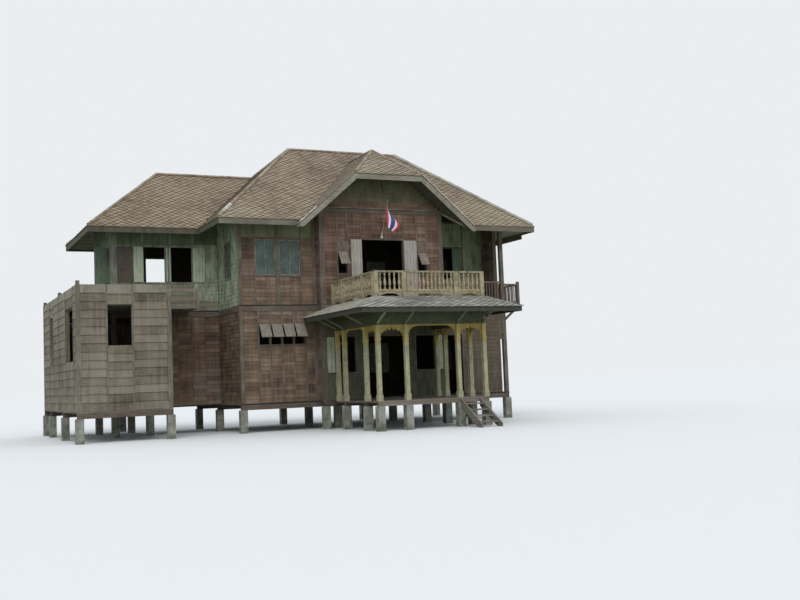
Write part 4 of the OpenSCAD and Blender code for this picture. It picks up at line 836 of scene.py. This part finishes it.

# The porch's skirt roof has the same tiles, greyer and cleaner, and its left slope is pale.
# Its last colour before the regions is the painted shadow and grime along the tiles' lower edges.
tile_grey = tile_finish("tile_grey", [(0.13, 0.125, 0.107), (0.26, 0.25, 0.215),
                                      (0.39, 0.375, 0.33), (0.53, 0.515, 0.46)],
                        (0.66, 0.65, 0.6), (0.055, 0.052, 0.042), [
    ({"X": (0, 3.3), "Y": (-4.7, 1)}, (0.6, 0.55, 0.45), (0.36, 0.33, 0.26), 0.6)])
deck_left, deck_right, deck_front, skirt_reach = 3.3775, 7.6225, -4.4, 0.905
skirt_top, skirt_low = 4.49, 4.1
slope["skirt"] = math.atan2(skirt_top - skirt_low, skirt_reach)
skirt_run = skirt_reach / math.cos(slope["skirt"])
skirt_west, skirt_east = deck_left - skirt_reach, deck_right + skirt_reach
skirt_south, bay_front = deck_front - skirt_reach, -0.42

# The two side slopes run back to the main wall and are cut round the gable bay, so each is
# laid in two fields, one before the bay's front and one beside the bay.
fields = [tile_field((skirt_west, skirt_south, skirt_low), (1, 0, 0), slope_up("skirt", 0, 1),
                     skirt_east - skirt_west, skirt_run, None,
                     [((skirt_west, skirt_south, 0), (-1, 1, 0)),
                      ((skirt_east, skirt_south, 0), (1, 1, 0)), ((0, deck_front, 0), (0, 1, 0))])]
for sign, foot_x, deck_x, bay_x in ((1, skirt_west, deck_left, bay_west),
                                    (-1, skirt_east, deck_right, bay_east)):
    start = 0 if sign > 0 else skirt_south
    for y0, y1, stop in ((skirt_south, bay_front, deck_x), (bay_front, 0.0, bay_x)):
        cuts = [((stop, 0, 0), (sign, 0, 0)), ((0, y0, 0), (0, -1, 0)), ((0, y1, 0), (0, 1, 0))]
        if y0 == skirt_south:
            cuts[1] = ((foot_x, skirt_south, 0), (sign, -1, 0))
        fields.append(tile_field((foot_x, start, skirt_low), (0, -sign, 0),
                                 slope_up("skirt", sign, 0), -skirt_south, skirt_run, None, cuts))
tile_mesh("tiles_skirt", fields, tile_grey)

# Ridge caps
# Half-round cement caps are bedded in mortar over the hips and ridges, each lapping the next.
def cap_run(a, b, radius=0.062, pitch=0.3, sink=0.02):
    """Caps from a to b: half rings whose radius grows along each cap and drops at its end,
    closed under by a flat bed. Returns corners and faces."""
    a, b = np.asarray(a, float), np.asarray(b, float)
    length = np.linalg.norm(b - a)
    axis = (b - a) / length
    sideways = np.cross(axis, (0, 0, 1.0))
    sideways /= np.linalg.norm(sideways)
    lift = np.cross(sideways, axis)
    count = max(1, round(length / pitch))
    s = np.repeat(np.linspace(0, length, count + 1), 2)[1:-1]
    grow = np.tile([1.0, 1.16], count) + rng.normal(0, 0.02, 2 * count)
    angle = np.linspace(-0.35, math.pi + 0.35, 13)
    ring = np.stack([np.cos(angle), np.sin(angle)], 1)
    wobble = 1 + rng.normal(0, 0.025, (2 * count, len(angle)))
    flat_x = ring[None, :, 0] * radius * 1.15 * grow[:, None] * wobble
    flat_z = ring[None, :, 1] * radius * 0.9 * grow[:, None] * wobble + sink
    corners = (a + s[:, None, None] * axis + flat_x[..., None] * sideways
               + flat_z[..., None] * lift)
    rings, points = corners.shape[:2]
    i, j = np.meshgrid(np.arange(rings - 1), np.arange(points), indexing="ij")
    k = (j + 1) % points
    faces = np.stack([i * points + j, (i + 1) * points + j, (i + 1) * points + k,
                      i * points + k], -1).reshape(-1, 4)
    ends = [list(range(points)), list(range((rings - 1) * points, rings * points))[::-1]]
    return corners.reshape(-1, 3), faces.tolist() + ends


def plain_piece(name, shapes, material):
    """One piece from (corners, faces) shapes, with normals made to face outwards."""
    corners, faces, start = [], [], 0
    for points, shape in shapes:
        corners += np.asarray(points).tolist()
        faces += [[int(v) + start for v in face] for face in shape]
        start += len(points)
    mesh = bpy.data.meshes.new(name)
    mesh.from_pydata(corners, [], faces)
    work = bmesh.new()
    work.from_mesh(mesh)
    bmesh.ops.recalc_face_normals(work, faces=work.faces)
    work.to_mesh(mesh)
    work.free()
    return add_piece(name, mesh, material)


cap_brown = stone("cap_brown", (0.17, 0.13, 0.095), (0.36, 0.295, 0.22), (0.12, 0.12, 0.08))
cement = stone("cap_cement", (0.24, 0.215, 0.172), (0.44, 0.4, 0.335), (0.12, 0.12, 0.08))
left_top, right_top = (west + half_d, main_d / 2, ridge), (east - half_d, main_d / 2, ridge)
wing_tip = (wing_west + wing_end_run, wing_mid, wing_ridge)
gable_tip = (gable_mid, rake_y + clip_run, gable_top)
back_start = (wing_east, north - (wing_east - west), wing_ridge)
gable_meet = (gable_mid, south + (gable_top - eave) / rise["main"], gable_top)
caps = [cap_run(left_top, right_top), cap_run(south_west, left_top),
        cap_run(back_start, left_top), cap_run(north_east, right_top),
        cap_run(wing_tip, (wing_east, wing_mid, wing_ridge)),
        cap_run(wing_corner, wing_tip, 0.055), cap_run(wing_back, wing_tip, 0.055),
        cap_run(clip_left, gable_tip, 0.05), cap_run(clip_right, gable_tip, 0.05),
        cap_run(gable_tip, gable_meet, 0.055)]
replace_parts(plain_piece("cement_caps", caps, cap_brown), "ridge_caps")

# The right front hip was bedded again in a broad pale band of cement. The foot of the left
# one, the lower end of the left rake and the whole right rake have a line of white lime.
def part_way(a, b, share):
    return tuple(np.asarray(a) + share * (np.asarray(b) - np.asarray(a)))


rake_end = (gable_mid - rake_half - tail, rake_y + 0.05, tail_z)
rake_top = (gable_mid - clip_half, rake_y + 0.05, clip_low)
right_end = (gable_mid + rake_half + tail, rake_y, tail_z)
bands = [cap_run(part_way(south_east, right_top, 0.01), right_top, 0.085, 0.45),
         cap_run((gable_mid - clip_half, rake_y + 0.03, clip_low),
                 (gable_mid + clip_half, rake_y + 0.03, clip_low), 0.02, 0.4)]
plain_piece("pale_cement_bands", bands, cement)
lime = stone("verge_lime", (0.34, 0.33, 0.3), (0.62, 0.6, 0.55), (0.2, 0.2, 0.15))
verges = [cap_run(part_way(rake_end, rake_top, 0.01), part_way(rake_end, rake_top, 0.3), 0.036,
                  0.2),
          cap_run(part_way(south_west, left_top, 0.04), part_way(south_west, left_top, 0.15),
                  0.066),
          cap_run(part_way(right_end, clip_right, 0.01), clip_right, 0.028, 0.4, 0.05)]
plain_piece("lime_verges", verges, lime)

# Fascias and barge boards
# Broad bare boards close the eaves and follow the rakes, silvered, with the end grain split.
along_eave = (2.2, 2.2, 34.0)
dress(timber("fascia_wood", (0.1, 0.084, 0.064), (0.185, 0.16, 0.122), (0.27, 0.243, 0.2),
             along_eave, 0.5, 0.25, regions=[
    ({"X": (-9, -0.93)}, (0.095, 0.082, 0.056), (0.06, 0.053, 0.038), 0.95),
    ({"Z": (3, 4.6)}, (0.04, 0.04, 0.028), (0.028, 0.028, 0.02), 0.92)]), "fascia_boards")
dress(timber("barge_wood", (0.15, 0.13, 0.1), (0.3, 0.27, 0.215), (0.4, 0.37, 0.31), along_eave,
             0.6, 0.2, regions=[
    ({"X": (gable_mid + clip_half, 12)}, (0.25, 0.22, 0.17), (0.15, 0.13, 0.1), 0.8)]),
      "barge_boards")

# Steps
# Open treads between two raking strings lead to the narrow right-hand bay of the porch.
dress(timber("step_wood", (0.1, 0.085, 0.07), (0.23, 0.2, 0.165), (0.3, 0.28, 0.24), flat, 0.6),
      "porch_steps")

# Flag
# A small striped flag hangs limp from a white pole that leans out over the balcony.
dress(paint_finish("pole_paint", (0.42, 0.4, 0.36), (0.3, 0.26, 0.22), (0.2, 0.2, 0.16), regions=[
    ({"Z": (7.0, 7.34)}, (0.72, 0.71, 0.68), (0.5, 0.48, 0.44), 1.0)]), "flag_pole")
f = Finish("flag_cloth", 0.8)
hoist = f.part(f.own("cut", "Vector"), "X")
white, blue = (f.between(hoist, low - 0.002, low + 0.002)
               * (1 - f.between(hoist, high - 0.002, high + 0.002))
               for low, high in ((0.16, 0.84), (0.33, 0.67)))
cloth = f.blend(white, (0.62, 0.05, 0.1), (0.78, 0.76, 0.78))
cloth = f.blend(blue, cloth, (0.07, 0.08, 0.27))
cotton = f.wear(cloth, f.noise(f.place, 300.0, 2), 0.001, 0.3)


def hung_flag(foot, lean, start, width, length):
    """The cloth over (u, v), from 0 to 1. u is the share of the hoist, from the pole's tip
    down, and v that of the fly. Each line of constant u leaves the pole at its own place and
    drops by v times the length, less up to a sixth at the low end, where u is 1. It sways out
    along X by u times a bell curve around v = 0.62, and a little the other way where u is 0.
    A sine wave with 1.6 turns across the hoist makes the folds, which deepen with v."""
    u, v = np.meshgrid(np.linspace(0, 1, 49), np.linspace(0, 1, 61), indexing="ij")
    pole = foot + (start - u[..., None] * width) * lean
    grow = np.sin(np.minimum(v * 2.2, 1) * math.pi / 2)
    fold = 0.042 * grow * np.sin(2 * math.pi * (1.6 * u + 0.12 * v))
    sway = grow * (0.5 * u * np.exp(-((v - 0.62) / 0.45) ** 2) - 0.07 * (1 - u))
    drop = v * length * (1 - 0.16 * u * v)
    points = pole + np.stack([0.014 + sway + fold * 0.5, fold - 0.012 * grow, -drop], -1)
    return points, np.stack([u, v, 0 * u], -1)


pole_foot, pole_lean = np.array((5.52, bay_front, 7.08)), np.array((0, -0.4695, 0.8829))
points, cut = hung_flag(pole_foot, pole_lean, start=1.47, width=0.36, length=0.98)
rows, cols = points.shape[:2]
i, j = (a.ravel() for a in np.meshgrid(np.arange(rows - 1), np.arange(cols - 1), indexing="ij"))
mesh = bpy.data.meshes.new("flag_on_pole")
mesh.from_pydata(points.reshape(-1, 3).tolist(), [], np.stack(
    [i * cols + j, (i + 1) * cols + j, (i + 1) * cols + j + 1, i * cols + j + 1], -1).tolist())
mesh.attributes.new("cut", "FLOAT_VECTOR", "POINT").data.foreach_set(
    "vector", cut.reshape(-1).astype(np.float32))
mesh.shade_smooth()
hung = add_piece("flag_on_pole", mesh, cotton)
hung.modifiers.new("thickness", "SOLIDIFY").thickness = 0.002
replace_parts(hung, "flag")

# Floor and light
# A plain pale floor and an even, overcast studio light from above and the front left.
far = 400
mesh = bpy.data.meshes.new("studio_floor")
mesh.from_pydata([(-far, -far, 0), (far, -far, 0), (far, far, 0), (-far, far, 0)], [],
                 [(0, 1, 2, 3)])
floor = add_object("studio_floor", mesh)
f = Finish("floor_grey", 0.95)
seen = f.node("LightPath", out="Is Camera Ray")
f.tree.links.new(f.blend(seen, (0.44, 0.48, 0.39), (0.78, 0.78, 0.77)).socket,
                 f.surface.inputs["Base Color"])
mesh.materials.append(f.mat)

world = bpy.data.worlds.new("overcast")
bpy.context.scene.world = world
world.use_nodes = True
sky = world.node_tree
lit = sky.nodes["Background"]
lit.inputs["Color"].default_value = (0.86, 0.93, 1.0, 1)
lit.inputs["Strength"].default_value = 0.85
plain = sky.nodes.new("ShaderNodeBackground")
plain.inputs["Color"].default_value = (0.83, 0.85, 0.87, 1)
path = sky.nodes.new("ShaderNodeLightPath")
mixed = sky.nodes.new("ShaderNodeMixShader")
sky.links.new(path.outputs["Is Camera Ray"], mixed.inputs[0])
sky.links.new(lit.outputs[0], mixed.inputs[1])
sky.links.new(plain.outputs[0], mixed.inputs[2])
sky.links.new(mixed.outputs[0], sky.nodes["World Output"].inputs[0])

sun = add_object("soft_light", bpy.data.lights.new("soft_light", "SUN"))
sun.data.energy = 1.3
sun.data.angle = math.radians(50)
sun.rotation_euler = (math.radians(38), math.radians(-18), 0)
bpy.context.scene.view_settings.view_transform = "Standard"
